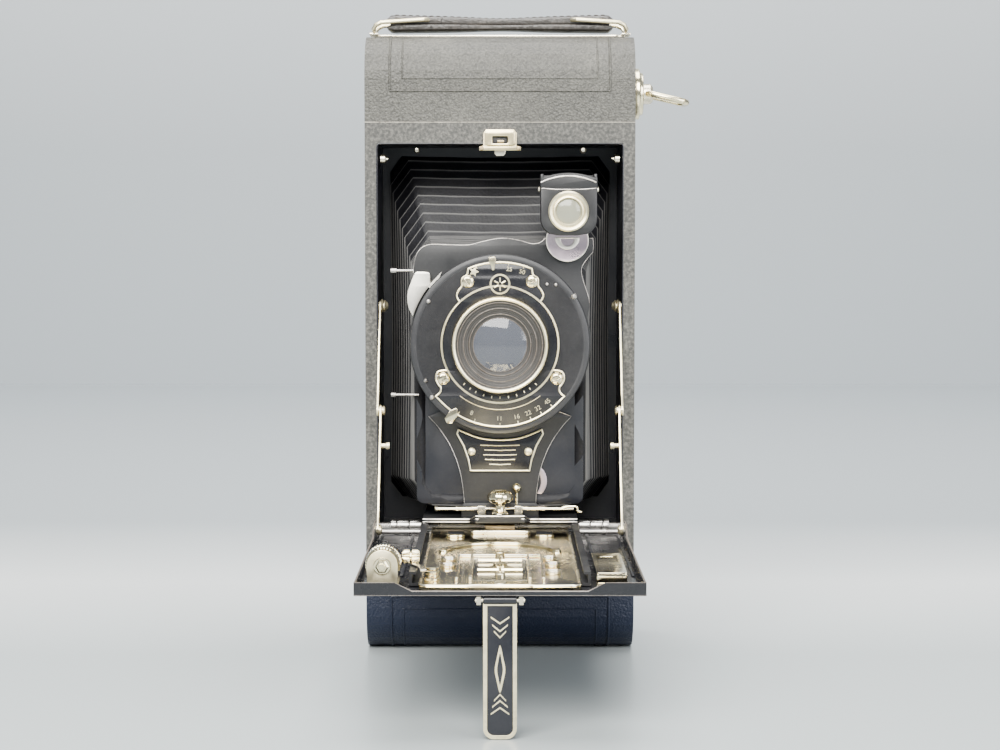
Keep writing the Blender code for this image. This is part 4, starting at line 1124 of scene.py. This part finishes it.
def board_shape():
    """Front view of the lens board, with its wavy top and flared neck."""
    neck = smooth_line([(-12.0, 47.8), (-12.2, 55.0), (-13.6, 63.5), (-16.6, 71.4), (-20.6, 77.6),
                        (-24.0, 81.4)], 5)
    left_top = smooth_line([(-27.9, 119.6), (-28.9, 126.5), (-28.6, 133.2), (-26.8, 137.2),
                            (-23.4, 138.9), (-17.0, 138.8),
                            (-10.4, 138.8), (-5.4, 140.0), (0.5, 141.0), (6.0, 140.4), (10.6, 139.2),
                            (13.4, 139.6),
                            (15.0, 141.0)], 5)
    right = [(31.0, 141.0), (31.2, 138.4)]
    right += smooth_line([(31.0, 136.4), (28.2, 133.0), (27.2, 130.4), (27.8, 126.8), (29.6, 121.4),
                          (29.9, 118.0)], 4)
    left_side = list(reversed(arc((0, LENS_Z), 30.4, 154, 233, 20)))
    right_side = list(reversed(arc((0, LENS_Z), 30.4, -53, 20, 20)))
    return [*neck, *left_side[1:-1], *left_top, *right, *right_side[1:-1],
            *[(-x, z) for x, z in reversed(neck)]]


def make_lens_board():
    outline = board_shape()
    put("lens_board_sheet", sheet_metal("XZ", outline, BOARD_FRONT_Y, BOARD_BACK_Y,
                                        holes=[circle((0, LENS_Z), 12.7, 32)], edge=0.25), BOARD_BLACK,
                                        "standard",
        ["lens_board"])
    bright = [(x, z) for x, z in outline if z > 119.0 or z < 83.0]
    upper = [place for place in bright if place[1] > 119.0]
    left = [place for place in bright if place[1] < 83.0 and place[0] < 0]
    right = [place for place in bright if place[1] < 83.0 and place[0] > 0]
    edges = [rod(front(line, BOARD_FRONT_Y + 0.06), 0.08, resolution=2) for line in (upper, left, right)]
    put("lens_board_edges", merged(*edges), WORN_NICKEL, "standard")

    border_top = smooth_line([(-14.0, 77.0), (-7.2, 74.3), (0.0, 73.5), (7.2, 74.3), (14.0, 77.0)], 5)
    border = [*border_top, (14.4, 75.6), (12.2, 71.6), (10.6, 67.0), (9.9, 63.2), (-9.9, 63.2),
              (-10.6, 67.0),
              (-12.2, 71.6), (-14.4, 75.6)]
    put("name_plate_panel", sheet_metal("XZ", border, -31.0, BOARD_FRONT_Y - 0.05, edge=0.15),
        GLOSS_BLACK, "standard")
    trim = [rod(front(border, -31.0), 0.32, cyclic=True, resolution=2)]
    for x in (-9.5, 9.5):
        trim.append(revolve("Y", (x, 0, 69.6),
                            [(0, 31.9), (0.7, 31.8), (1.25, 31.4), (1.35, 31.0), (0, 31.0)], 24))
    for z, reach in ((71.9, 6.6), (70.3, 5.2), (68.7, 5.6), (67.1, 5.0), (65.5, 3.6)):
        trim.append(rod([(-reach, -31.02, z - 0.15), (0, -31.02, z - 0.3), (reach, -31.02, z - 0.15)],
                        0.16, resolution=1))
    put("name_plate_trim", merged(*trim), PALE_NICKEL, "standard")
    behind = []
    for shift in (0.0, 2.6):
        shape = [*arc((9.6 + shift, 59.4), 6.2, -52, 66, 14),
                 *reversed(arc((7.4 + shift, 59.4), 6.4, -40, 56, 12))]
        behind.append(sheet_metal("XZ", shape, -28.7 + shift * 0.1, -28.2 + shift * 0.1, edge=0.1))
    put("bed_lock_springs", merged(*behind), PINK_NICKEL, "standard")


def make_base():
    """The standard's foot: pressed sheet with a raised middle, rolled edges, rod brackets and the clamp."""
    outline = [(-26.0, -20.6), (-26.0, -34.0), (-25.0, -35.0), (-10.2, -35.0), (-8.2, -37.9),
               (8.2, -37.9), (10.2, -35.0),
               (25.0, -35.0), (26.0, -34.0), (26.0, -20.6)]
    base = sheet_metal("XY", outline, 46.3, 47.5, edge=0.3)
    hump = block((-7.7, 7.7), (-37.9, -33.0), (46.4, 48.9), 0.6, 3)
    tab = sheet_metal("XZ", [(-13.0, 46.8), (-13.0, 51.2), (-12.0, 52.4), (12.0, 52.4), (13.0, 51.2),
                             (13.0, 46.8)], -31.9,
                      -30.5, edge=0.3)
    put("standard_foot", merged(base, hump, tab), BOARD_BLACK, "standard",
        ["standard_base"])
    rim = [(-25.8, -34.9, 47.3), (-10.0, -34.9, 47.3), (-8.0, -37.8, 48.7), (8.0, -37.8, 48.7),
           (10.0, -34.9, 47.3),
           (25.8, -34.9, 47.3)]
    under = [(x, y + 0.05, z - 0.9) for x, y, z in rim]
    put("standard_foot_edges", merged(rod(rim, 0.22, resolution=2), rod(under, 0.16, resolution=2)),
        WORN_NICKEL,
        "standard")
    brackets = []
    for side in (-1, 1):
        brackets.append(block(tuple(sorted((side * 4.8, side * 7.6))), (-33.9, -32.0), (48.8, 51.6), 0.3,
                              2))
        brackets.append(revolve("X", (0, -32.8, 50.6),
                                [(0, side * 7.6), (0.95, side * 7.6), (0.95, side * 9.4),
                                                        (0.75, side * 9.5), (0.75, side * 14.0),
                                                        (0.95, side * 14.1),
                                                        (0.95, side * 14.8), (0, side * 14.8)], 24))
    rod_points = [(-21.8, -32.8, 50.6), (24.6, -32.8, 50.6)]
    knob = revolve("X", (0, -32.8, 50.6),
                   [(0, -21.9), (0.8, -21.8), (1.0, -21.3), (0.8, -20.8), (0.6, -20.7), (0, -20.7)], 20)
    put("cross_rod_assembly", merged(rod(rod_points, 0.6, resolution=6), knob, *brackets), NICKEL,
        "standard",
        ["cross_rod"])
    lever_shape = [(20.4, -33.3, 50.6), (22.0, -33.5, 51.3), (25.2, -33.5, 51.4), (25.8, -33.5, 50.9),
                   (26.0, -33.6, 49.9),
                   (27.4, -33.8, 49.5)]
    put("cross_rod_lever", rod(smooth_line(lever_shape, 4), 0.42, resolution=3), BRIGHT_NICKEL,
        "standard")
    head = [(0, 57.6), (1.6, 57.5), (3.0, 57.0), (4.0, 56.0), (4.4, 54.9), (4.2, 53.8), (3.4, 53.1),
            (2.0, 52.7),
            (1.6, 52.2), (1.5, 51.2), (1.9, 50.2), (2.6, 49.7), (2.8, 49.3), (0, 49.2)]
    put("clamp_knob_turning", revolve("Z", (0, -35.4, 0), head, 64), BRIGHT_NICKEL, "clamp",
        ["clamp_knob"])
    ball = revolve("Z", (5.6, -32.2, 0),
                   [(0, 59.2), (0.8, 59.0), (1.45, 58.4), (1.7, 57.6), (1.45, 56.8), (0.8, 56.2),
                                          (0.45, 55.8), (0.45, 52.0), (0, 52.0)], 28)
    put("shutter_release_ball", ball, BRIGHT_NICKEL, "standard")


def face_plate_outline():
    """The black plate on the shutter: a ring with a dial above and a wider one below."""
    right_top = smooth_line([polar(19.3, 46.5), (14.3, LENS_Z + 16.0), (13.6, LENS_Z + 17.9),
                             (12.6, LENS_Z + 19.3),
                             (12.5, LENS_Z + 21.6), (10.9, LENS_Z + 23.0), (10.5, LENS_Z + 24.9)], 4)
    top = arc((0, LENS_Z), 27.1, 67.2, 112.8, 24)
    left_top = [(-x, z) for x, z in reversed(right_top)]
    left_bottom = smooth_line([polar(19.3, 206.0), (-20.4, LENS_Z - 9.0), (-21.2, LENS_Z - 11.2),
                               (-20.4, LENS_Z - 13.2),
                               (-19.6, LENS_Z - 14.2), (-19.8, LENS_Z - 15.8), (-21.3, LENS_Z - 17.2)], 4)
    bottom = arc((0, LENS_Z), 27.2, 219.6, 320.4, 40)
    right_bottom = [(-x, z) for x, z in reversed(left_bottom)]
    left_ring = arc((0, LENS_Z), 19.3, 133.5, 206.0, 20)
    right_ring = arc((0, LENS_Z), 19.3, -26.0, 46.5, 20)
    return [*top[1:-1], *left_top, *left_ring[1:-1], *left_bottom, *bottom[1:-1], *right_bottom,
            *right_ring[1:-1], *right_top]


def make_shutter():
    """The round shutter: grooved face, black dial plate with bright borders, screws, numbers and lens."""
    centre = (0, 0, LENS_Z)
    wall = [(13.0, 30.6), (29.4, 30.6), (29.8, 31.0), (29.8, 37.6), (29.4, 38.2), (28.0, 38.3),
            (13.0, 38.3)]
    put("shutter_drum", revolve("Y", centre, wall, 96, closed=True), BOARD_BLACK, "standard",
        ["shutter_housing"])
    face = [(9.8, 38.5), (29.0, 38.5), (29.6, 38.65), (29.5, 38.9), (28.7, 39.15), (28.0, 39.2)]
    grooves = 26
    for step in range(grooves):
        radius = 27.7 - step * 0.36
        face += [(radius, 39.13), (radius - 0.12, 39.25), (radius - 0.24, 39.25)]
    face += [(18.0, 39.2), (9.8, 39.2)]
    put("shutter_grooved_face", revolve("Y", centre, face, 128, closed=True), FACE_BLACK, "standard",
        ["shutter_face"])
    outline = face_plate_outline()
    put("dial_plate", sheet_metal("XZ", outline, -39.58, -39.2, holes=[circle((0, LENS_Z), 15.0, 48)],
                                  edge=0.06),
        GLOSS_BLACK, "standard")
    trims = [rod(front(outline, -39.6), 0.34, cyclic=True, resolution=2),
             revolve("Y", centre, [(18.95, 39.5), (19.05, 39.9), (19.6, 39.9), (19.7, 39.5)], 96,
                     closed=True)]
    places = [polar(21.6, 232.0 + 76.0 * step / 24) for step in range(25)]
    trims.append(rod(front(places, -39.6), 0.12, resolution=1))
    for degrees in (239.0, 251.5, 270.0, 283.0, 292.5, 301.0, 310.0):
        trims.append(rod(front([polar(26.0, degrees), polar(27.0, degrees)], -39.65), 0.16, resolution=1))
    for degrees in (107.0, 95.0, 84.0, 73.0):
        trims.append(rod(front([polar(26.2, degrees), polar(27.0, degrees)], -39.65), 0.16, resolution=1))
    trims.append(revolve("Y", (0, 0, LENS_Z + 19.9),
                         [(2.75, 39.5), (2.85, 40.05), (3.35, 40.05), (3.45, 39.5)], 40, closed=True))
    put("dial_plate_borders", merged(*trims), PALE_NICKEL, "standard")
    disc = revolve("Y", (0, 0, LENS_Z + 19.9), [(0, 39.85), (2.7, 39.85), (2.8, 39.5), (0, 39.5)], 40)
    put("ornament_disc", disc, GLOSS_BLACK, "standard")
    petals = []
    for step in range(6):
        turn = 60 * step + 30
        tip = (2.1 * math.cos(math.radians(turn)), LENS_Z + 19.9 + 2.1 * math.sin(math.radians(turn)))
        near = (0.6 * math.cos(math.radians(turn)), LENS_Z + 19.9 + 0.6 * math.sin(math.radians(turn)))
        petals.append(rod(front([near, tip], -39.88), 0.26, resolution=2))
    put("ornament_rosette", merged(*petals), PALE_NICKEL, "standard")
    screws = [slotted_screw((x, -39.5, LENS_Z + z), 2.05, 0.85, angle)
              for x, z, angle in ((-10.6, 20.8, 140), (10.6, 20.8, 10), (-18.7, -11.3, 60),
                                  (18.7, -11.3, 20))]
    put("dial_plate_screws", merged(*screws), BRIGHT_NICKEL, "standard")
    numbers = [numeral(text, polar(radius, degrees), size, -39.6, turn) for text, radius, degrees, size,
               turn in (
        ("25", 25.0, 83.0, 2.0, -7), ("50", 25.0, 73.0, 2.0, -15), ("8", 24.6, 247.5, 2.1, -20),
        ("11", 24.6, 269.5, 2.1, 0), ("16", 24.6, 283.0, 2.1, 13), ("22", 24.6, 292.3, 2.1, 22),
        ("32", 24.6, 300.6, 2.1, 30), ("45", 24.6, 309.6, 2.1, 39))]
    for degrees in (228, 236, 243, 252, 261, 270, 279, 288, 297, 304, 312):
        numbers.append(rod(front([polar(17.3, degrees), polar(18.0, degrees)], -39.62), 0.18,
                           resolution=1))
    put("dial_numbers", merged(*numbers), PALE_NICKEL, "standard")

    tab = [polar(29.0, 93.0), polar(29.0, 97.4), polar(27.2, 97.6), polar(26.2, 96.6), polar(24.6, 95.9),
           polar(24.6, 94.4), polar(26.2, 93.8), polar(27.2, 92.8)]
    put("speed_pointer", sheet_metal("XZ", tab, -40.3, -39.8, edge=0.12), BRIGHT_NICKEL, "speed",
        ["speed_lever"])
    tab = [polar(30.6, 233.2), polar(31.4, 236.0), polar(30.6, 238.8), polar(27.4, 239.2),
           polar(25.6, 236.6),
           polar(25.6, 235.4), polar(27.4, 232.8)]
    put("aperture_pointer", sheet_metal("XZ", tab, -40.3, -39.8, edge=0.12), BRIGHT_NICKEL, "aperture",
        ["aperture_lever"])
    star = [(-8.6 + (1.7 if step % 2 == 0 else 0.8) * math.cos(math.radians(36 * step)),
             LENS_Z + 24.0 + (1.7 if step % 2 == 0 else 0.8) * math.sin(math.radians(36 * step)))
                     for step in range(10)]
    put("dial_star", sheet_metal("XZ", star, -39.9, -39.6, edge=0.08), PALE_NICKEL, "standard")
    studs = []
    for degrees, radius, size in ((149, 27.6, 0.7), (33.0, 29.2, 0.9), (47, 27.0, 0.6), (206, 27.4, 0.7),
                                  (218, 28.6, 0.8),
                                  (-26.0, 23.3, 0.6), (-153.0, 23.3, 0.6), (52.0, 16.6 + 8.6, 0.6)):
        x, z = polar(radius, degrees)
        studs.append(revolve("Y", (x, 0, z),
                             [(0, 39.9), (size * 0.6, 39.8), (size, 39.4), (size, 39.1), (0, 39.1)], 16))
    put("shutter_studs", merged(*studs), WORN_NICKEL, "standard")

    crescent = smooth_line([polar(30.3, 163), (-30.6, LENS_Z + 12.2), (-30.9, LENS_Z + 16.4),
                            (-29.6, LENS_Z + 20.6),
                            (-28.4, LENS_Z + 23.4)], 5)
    crescent += smooth_line([(-27.6, LENS_Z + 23.9), (-24.0, LENS_Z + 23.7), (-23.4, LENS_Z + 22.6),
                             (-23.2, LENS_Z + 20.0),
                             (-22.6, LENS_Z + 18.4), (-21.6, LENS_Z + 19.6), (-20.2, LENS_Z + 22.7)], 4)
    crescent += list(arc((0, LENS_Z), 30.3, 131.5, 163, 12))[1:-1]
    put("release_lever_sheet", sheet_metal("XZ", crescent, -31.9, -30.7, edge=0.25), CREAM_NICKEL,
        "release",
        ["release_lever"])
    pins = [rod([(-36.2, -29.6, 130.2), (-29.0, -29.6, 130.2)], 0.5, resolution=4),
            revolve("X", (0, -29.6, 130.2),
                    [(0, -36.6), (0.8, -36.5), (0.9, -36.0), (0.9, -34.6), (0, -34.6)], 20),
            rod([(-36.0, -29.6, 88.6), (-27.2, -29.6, 88.6)], 0.45, resolution=4),
            revolve("X", (0, -29.6, 88.6),
                    [(0, -36.6), (0.7, -36.5), (0.8, -36.0), (0.8, -35.0), (0, -35.0)], 20)]
    put("cable_socket_pins", merged(*pins), DARK_NICKEL, "standard")


def make_lens():
    """Bright rim, blackened steps down to the glass, the glass, and the parts seen through it."""
    centre = (0, 0, LENS_Z)
    rim = [(15.8, 39.7), (15.8, 44.9), (15.55, 45.4), (15.2, 45.5), (14.75, 45.3), (14.7, 44.9),
           (15.0, 39.7)]
    put("lens_rim", revolve("Y", centre, rim, 128, closed=True), PALE_NICKEL, "standard",
        ["lens_barrel"])
    steps = [(14.75, 44.9)]
    radius, depth = 14.4, 44.75
    for _ in range(7):
        steps += [(radius, depth), (radius - 0.12, depth - 0.32)]
        radius -= 0.78
        depth -= 0.42
        steps.append((radius + 0.1, depth + 0.02))
    steps += [(9.0, 41.6), (8.85, 40.2), (14.75, 40.2)]
    put("lens_inner_steps", revolve("Y", centre, steps, 128, closed=True), LENS_BLACK, "standard")
    thread = []
    for step in range(3):
        r = 14.0 - step * 1.9
        d = 44.62 - step * 1.02
        thread.append(revolve("Y", centre, [(r + 0.1, d), (r - 0.05, d + 0.07), (r - 0.2, d - 0.05)], 96,
                              closed=True))
    thread.append(revolve("Y", centre, [(9.05, 41.9), (8.95, 42.2), (8.6, 42.2), (8.5, 41.9)], 96,
                          closed=True))
    put("lens_inner_rings", merged(*thread), WORN_BROWN, "standard")
    glass_profile = [(0, 43.55)]
    for step in range(1, 11):
        r = 8.8 * step / 10
        glass_profile.append((r, 43.55 - 1.35 * (r / 8.8) ** 2))
    glass_profile += [(8.8, 40.6), (0, 40.4)]
    put("lens_front_glass", revolve("Y", centre, glass_profile, 96), LENS_GLASS_PAINTED_REFLECTION, "standard",
        ["front_lens"])
    iris = []
    for step in range(10):
        turn = math.radians(36 * step)
        blade = []
        for u, v in arc((0, 0), 7.6, 0, 150, 10) + arc((-1.2, 0), 5.2, 150, 0, 8):
            x, z = u + 2.6, v
            blade.append((x * math.cos(turn) - z * math.sin(turn),
                          LENS_Z + x * math.sin(turn) + z * math.cos(turn)))
        iris.append(sheet_metal("XZ", blade, -37.55 + 0.03 * step, -37.45 + 0.03 * step, edge=0.01))
    put("iris_leaves", merged(*iris), IRIS_STEEL, "iris")


def make_finder():
    """The reflecting finder: round-bottomed body, hood with an arched edge, its lens ring and swivel."""
    mid, swivel_z, lens_z = 22.4, 140.3, 149.8
    low_x, high_x = 13.3, 31.7
    shape = [(high_x, 157.6), (high_x, 147.4), *arc((high_x - 5.6, 147.4), 5.6, 0, -62, 8),
             (mid + 3.0, 141.9),
             (mid - 3.0, 141.9), *arc((low_x + 5.6, 147.4), 5.6, 242, 180, 8), (low_x, 157.6)]
    front_wall = sheet_metal("XZ", shape, -45.1, -43.6, holes=[circle((mid, lens_z), 4.6, 32)], edge=0.5)
    back_wall = sheet_metal("XZ", [(x, z + (0 if z < 157 else 4.2)) for x, z in shape], -33.4, -32.4,
                            edge=0.3)
    inset = [(mid + (x - mid) * 0.88, 151.0 + (z - 151.0) * 0.90 + (1.2 if z > 157 else 0.0)) for x,
             z in shape]
    tube = sheet_metal("XZ", shape, -43.7, -33.2, holes=[inset], edge=0.1)
    put("finder_body_walls", merged(front_wall, back_wall, tube), BOARD_BLACK, "finder",
        ["finder_body"])
    hood = [(low_x - 0.1, 157.4), (low_x - 0.1, 160.4)]
    hood += [(mid + 9.3 * t, 160.4 + 1.9 * (1 - t * t)) for t in [-1 + 2 * step / 20 for step in range(21)]]
    hood += [(high_x + 0.1, 160.4), (high_x + 0.1, 157.4)]
    lids = sheet_metal("XZ", hood, -45.2, -44.4, edge=0.3)
    sides = [sheet_metal("YZ", rounded((-44.6, -33.0), (157.4, 162.0), 0.8, 4), *sorted((x, x + 0.9)),
                         edge=0.2)
             for x in (low_x, high_x - 0.9)]
    put("finder_hood", merged(lids, *sides), BOARD_BLACK, "finder")
    arch = [(mid + 9.0 * t, -45.2,
             159.2 + 2.1 * (1 - t * t)) for t in [-1 + 2 * step / 20 for step in range(21)]]
    lines = [rod(arch, 0.26, resolution=2),
             rod([(low_x + 0.3, -45.2, 157.3), (mid - 4, -45.25, 156.9), (mid + 4, -45.25, 156.9),
                  (high_x - 0.3, -45.2, 157.3)],
                 0.12, resolution=2)]
    put("finder_hood_edge", merged(*lines), WORN_NICKEL, "finder")
    pivots = [revolve("X", (0, -40.4, 157.0),
                      [(0, x), (0.7, x), (0.9, x + out * 0.3), (0.7, x + out * 0.8), (0, x + out)], 18)
              for x, out in ((low_x, -0.9), (high_x, 0.9))]
    put("finder_hood_pivots", merged(*pivots), NICKEL, "finder")
    ring = [(4.2, 45.2), (4.2, 46.0), (4.5, 46.4), (4.9, 46.3), (5.2, 45.95), (5.6, 46.2), (6.1, 46.35),
            (6.6, 45.9), (6.6, 45.2)]
    put("finder_lens_ring", revolve("Y", (mid, 0, lens_z), ring, 64, closed=True), PALE_NICKEL, "finder",
        ["finder_lens"])
    bead = [(0, 46.1), (1.6, 46.02), (3.0, 45.75), (4.2, 45.3), (4.2, 44.6), (0, 44.5)]
    put("finder_front_glass", revolve("Y", (mid, 0, lens_z), bead, 48), FINDER_GLASS, "finder")
    glass_top = sheet_metal("XY", rounded((low_x + 1.0, high_x - 1.0), (-44.2, -33.6), 0.6, 4), 160.2,
                            160.9, edge=0.15)
    put("finder_view_glass", glass_top, CLEAR_GLASS, "finder", ["finder_window"])
    disc = revolve("Y", (mid, 0, swivel_z),
                   [(0, 31.95), (6.4, 31.95), (6.7, 32.0), (7.1, 31.8), (7.1, 30.7), (0, 30.7)], 72)
    put("finder_swivel_disc", disc, PINK_NICKEL, "finder", ["finder_swivel_plate"])
    half = [*arc((mid, swivel_z + 1.0), 4.1, 180, 360, 18)]
    inner = [(mid + (x - mid) * 0.55, swivel_z + 0.6 + (z - swivel_z - 1.0) * 0.6) for x, z in half]
    cup = sheet_metal("XZ", half, -32.5, -31.9, holes=[inner], edge=0.2)
    rim = rod(front(circle((mid, swivel_z), 6.95, 64), -31.95), 0.16, cyclic=True, resolution=2)
    put("finder_swivel_spring", merged(cup, rim), CREAM_NICKEL, "finder")


def make_back():
    """The back's little door, window guard and stylus clip, seen only from behind."""
    frame_outline = rounded((-34.0, 34.0), (49.2, 61.8), 1.4, 5)
    hole = rounded((-33.2, 33.2), (50.0, 61.0), 1.0, 5)
    put("door_frame", sheet_metal("XZ", frame_outline, 23.0, 23.5, holes=[hole], edge=0.12), NICKEL,
        "back")
    door = sheet_metal("XZ", rounded((-32.9, 32.9), (50.2, 60.8), 0.9, 5), 23.35, 24.2, edge=0.2)
    put("autographic_door_panel", door, BOARD_BLACK, "autographic_flap",
        ["autographic_door"])
    trim = [rod([(-31.0, 24.25, 52.0), (31.0, 24.25, 52.0), (31.0, 24.25, 59.0), (-31.0, 24.25, 59.0)],
                0.25, cyclic=True,
                resolution=2)]
    put("autographic_door_bead", merged(*trim), NICKEL, "autographic_flap")
    guard = revolve("Y", (0, 0, 140.0),
                    [(3.9, -23.0), (3.9, -23.7), (4.4, -23.9), (5.4, -23.8), (6.0, -23.2), (6.0, -23.0)],
                    48,
                    closed=True)
    put("window_guard", guard, NICKEL, "back")
    clips = [sheet_metal("XZ", rounded((x - 1.6, x + 1.6), (62.9, 67.1), 0.7, 4), 23.0, 23.4,
                         edge=0.12) for x in (-24.0, 16.0)]
    put("stylus_clips", merged(*clips), NICKEL, "back")
    lines = []
    for inset, radius in ((0.0, 0.32), (4.2, 0.22)):
        outline = rounded((-39.0 + inset, 39.0 - inset), (17.0 + inset, 192.5 - inset), 1.5, 4)
        lines.append(rod([(x, 23.02, z) for x, z in outline], radius, cyclic=True, resolution=2))
    put("back_embossing", merged(*lines), LEATHER_BODY, "back")


# ---------------------------------------------------------------- assembly

# foot is a painted shade colour: the lower end darker and bluer, for the bed's shadow and the floor's cool
# light
LEATHER_BODY = leather("body_leather", (0.112, 0.108, 0.092), 1500.0, 0.5, gloss=0.4,
                       foot=(0.003, 0.007, 0.022))
LEATHER_STRAP = leather("strap_leather", (0.055, 0.047, 0.040), 1100.0, 0.36, 0.00012, light=2.2)
# the paler ridge colour is partly wear, partly a painted highlight on the fold tops
LEATHER_BELLOWS = leather("bellows_leather", (0.005, 0.005, 0.008), 1300.0, 0.5, 0.00006,
                          worn=(0.10, 0.098, 0.095),
                          gloss=0.22)
THREAD = leather("waxed_thread", (0.05, 0.038, 0.03), 2400.0, 0.6, 0.00005)
CRACKLE = speckled_paint()
BLACK_ENAMEL = enamel("black_enamel", (0.003, 0.0035, 0.007), 0.34, 0.010)
BOARD_BLACK = enamel("board_enamel", (0.004, 0.004, 0.005), 0.45, 0.012)
FACE_BLACK = enamel("face_enamel", (0.013, 0.013, 0.015), 0.38, 0.018)
GLOSS_BLACK = enamel("gloss_enamel", (0.005, 0.005, 0.007), 0.22, 0.01)
LENS_BLACK = enamel("lens_black", (0.030, 0.027, 0.024), 0.3, 0.02)
DARK_HOLE = enamel("dark_hole", (0.004, 0.004, 0.005), 0.6, 0.004)
WORN_BROWN = enamel("worn_brown", (0.085, 0.066, 0.050), 0.35, 0.2)
NICKEL = plated("nickel", (0.82, 0.75, 0.58))
BRIGHT_NICKEL = plated("bright_nickel", (0.88, 0.78, 0.52), 0.14, (0.6, 0.50, 0.32), 0.66)
PALE_NICKEL = plated("pale_nickel", (0.90, 0.80, 0.53), 0.34, (0.62, 0.52, 0.32), 0.64)
CREAM_NICKEL = plated("cream_nickel", (0.86, 0.82, 0.74), 0.42, (0.60, 0.54, 0.44), 0.72)
DARK_NICKEL = plated("dark_nickel", (0.42, 0.40, 0.38), 0.24, (0.2, 0.17, 0.14), 0.62)
WORN_NICKEL = plated("worn_nickel", (0.62, 0.58, 0.54), 0.35, (0.12, 0.10, 0.09), 0.56)
PINK_NICKEL = plated("pink_nickel", (0.62, 0.51, 0.56), 0.3, (0.42, 0.33, 0.34), 0.7)
GOLD_NICKEL = plated("gold_nickel", (0.84, 0.71, 0.42), 0.25, (0.5, 0.38, 0.2), 0.68)
DARK_MIRROR = plated("dark_mirror", (0.30, 0.29, 0.26), 0.12, (0.16, 0.13, 0.1), 0.62)
PALE_EDGE = plated("pale_edge", (0.45, 0.42, 0.36), 0.45, (0.1, 0.09, 0.08), 0.56)
STEEL = plated("steel", (0.45, 0.45, 0.45), 0.32)
IRIS_STEEL = plated("iris_steel", (0.30, 0.32, 0.36), 0.3, (0.16, 0.14, 0.13), 0.6)
BRASS = plated("brass", (0.60, 0.46, 0.26), 0.34, (0.34, 0.24, 0.12))
CLEAR_GLASS = glass("clear_glass", (0.9, 0.92, 0.95))
# painted reflection: the lens glass is only part clear, and its blue-grey colour stands in for the pale
# room seen in it
LENS_GLASS_PAINTED_REFLECTION = glass("lens_glass", (0.15, 0.16, 0.19), 0.05, 0.6)
FINDER_GLASS = glass("finder_glass", (0.30, 0.30, 0.23), 0.08, 0.25)
RUBY = glass("ruby_glass", (0.5, 0.02, 0.02), 0.1)
# painted light: a pale band across the floor just behind the camera, and the floor paler again towards the
# backdrop
FLOOR = stage_with_painted_light("floor", "Y", -0.4, 1.3, 0.32, (0.0, (0.35, 0.385, 0.39)),
                    (0.22, (0.35, 0.385, 0.39)),
                    (0.31, (0.60, 0.62, 0.62)), (0.42, (0.33, 0.36, 0.375)), (1.0, (0.51, 0.545, 0.565)))
# painted light: the backdrop grows paler towards the top
BACKDROP = stage_with_painted_light("backdrop", "Z", 0.0, 0.45, 0.9, (0.0, (0.36, 0.39, 0.41)),
                       (0.5, (0.37, 0.395, 0.41)),
                       (1.0, (0.51, 0.53, 0.54)))

CAD_LOOKS = {
    "top_end_cover": LEATHER_BODY, "bottom_end_cover": LEATHER_BODY, "back_cover": LEATHER_BODY,
    "front_frame": CRACKLE, "inner_well": BLACK_ENAMEL, "bed_tray": GLOSS_BLACK,
    "inner_track": BLACK_ENAMEL,
    "track_rail_left": BOARD_BLACK, "track_rail_right": BOARD_BLACK,
    "rear_cell": BLACK_ENAMEL, "pressure_plate": BLACK_ENAMEL, "shutter_blades": IRIS_STEEL,
    "iris_ring": STEEL,
    "takeup_spool": STEEL, "supply_spool": STEEL, "red_window": RUBY, "finder_mirror": STEEL,
    "track_plate": BRIGHT_NICKEL, "hinge_rod": DARK_NICKEL,
}


def dress_cad():
    """Every CAD node gets its finished material."""
    for name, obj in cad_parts.items():
        material = CAD_LOOKS.get(name, NICKEL)
        obj.data.materials.clear()
        obj.data.materials.append(material)


def make_stage():
    mesh = bpy.data.meshes.new("floor")
    bm = bmesh.new()
    bmesh.ops.create_grid(bm, x_segments=2, y_segments=2, size=3.0,
                          matrix=Matrix.Translation((0, 0, -0.0002)))
    bm.to_mesh(mesh)
    bm.free()
    floor = put("floor", mesh, FLOOR, None, smooth=False)
    mesh = bpy.data.meshes.new("backdrop")
    bm = bmesh.new()
    bmesh.ops.create_grid(bm, x_segments=2, y_segments=2, size=3.0,
                          matrix=Matrix.Translation((0, 1.3, 0)) @ Matrix.Rotation(math.radians(90), 4,
                                  "X"))
    bm.to_mesh(mesh)
    bm.free()
    wall = put("backdrop", mesh, BACKDROP, None, smooth=False)


make_camera()
make_lights()
make_stage()
dress_cad()
make_bellows()
make_embossing()
make_front_frame_details()
make_latch()
make_handle()
make_key()
make_bed_details()
make_track_details()
make_focus_wheel()
make_scale_plate()
make_leg()
make_braces()
make_lens_board()
make_base()
make_shutter()
make_lens()
make_finder()
make_back()
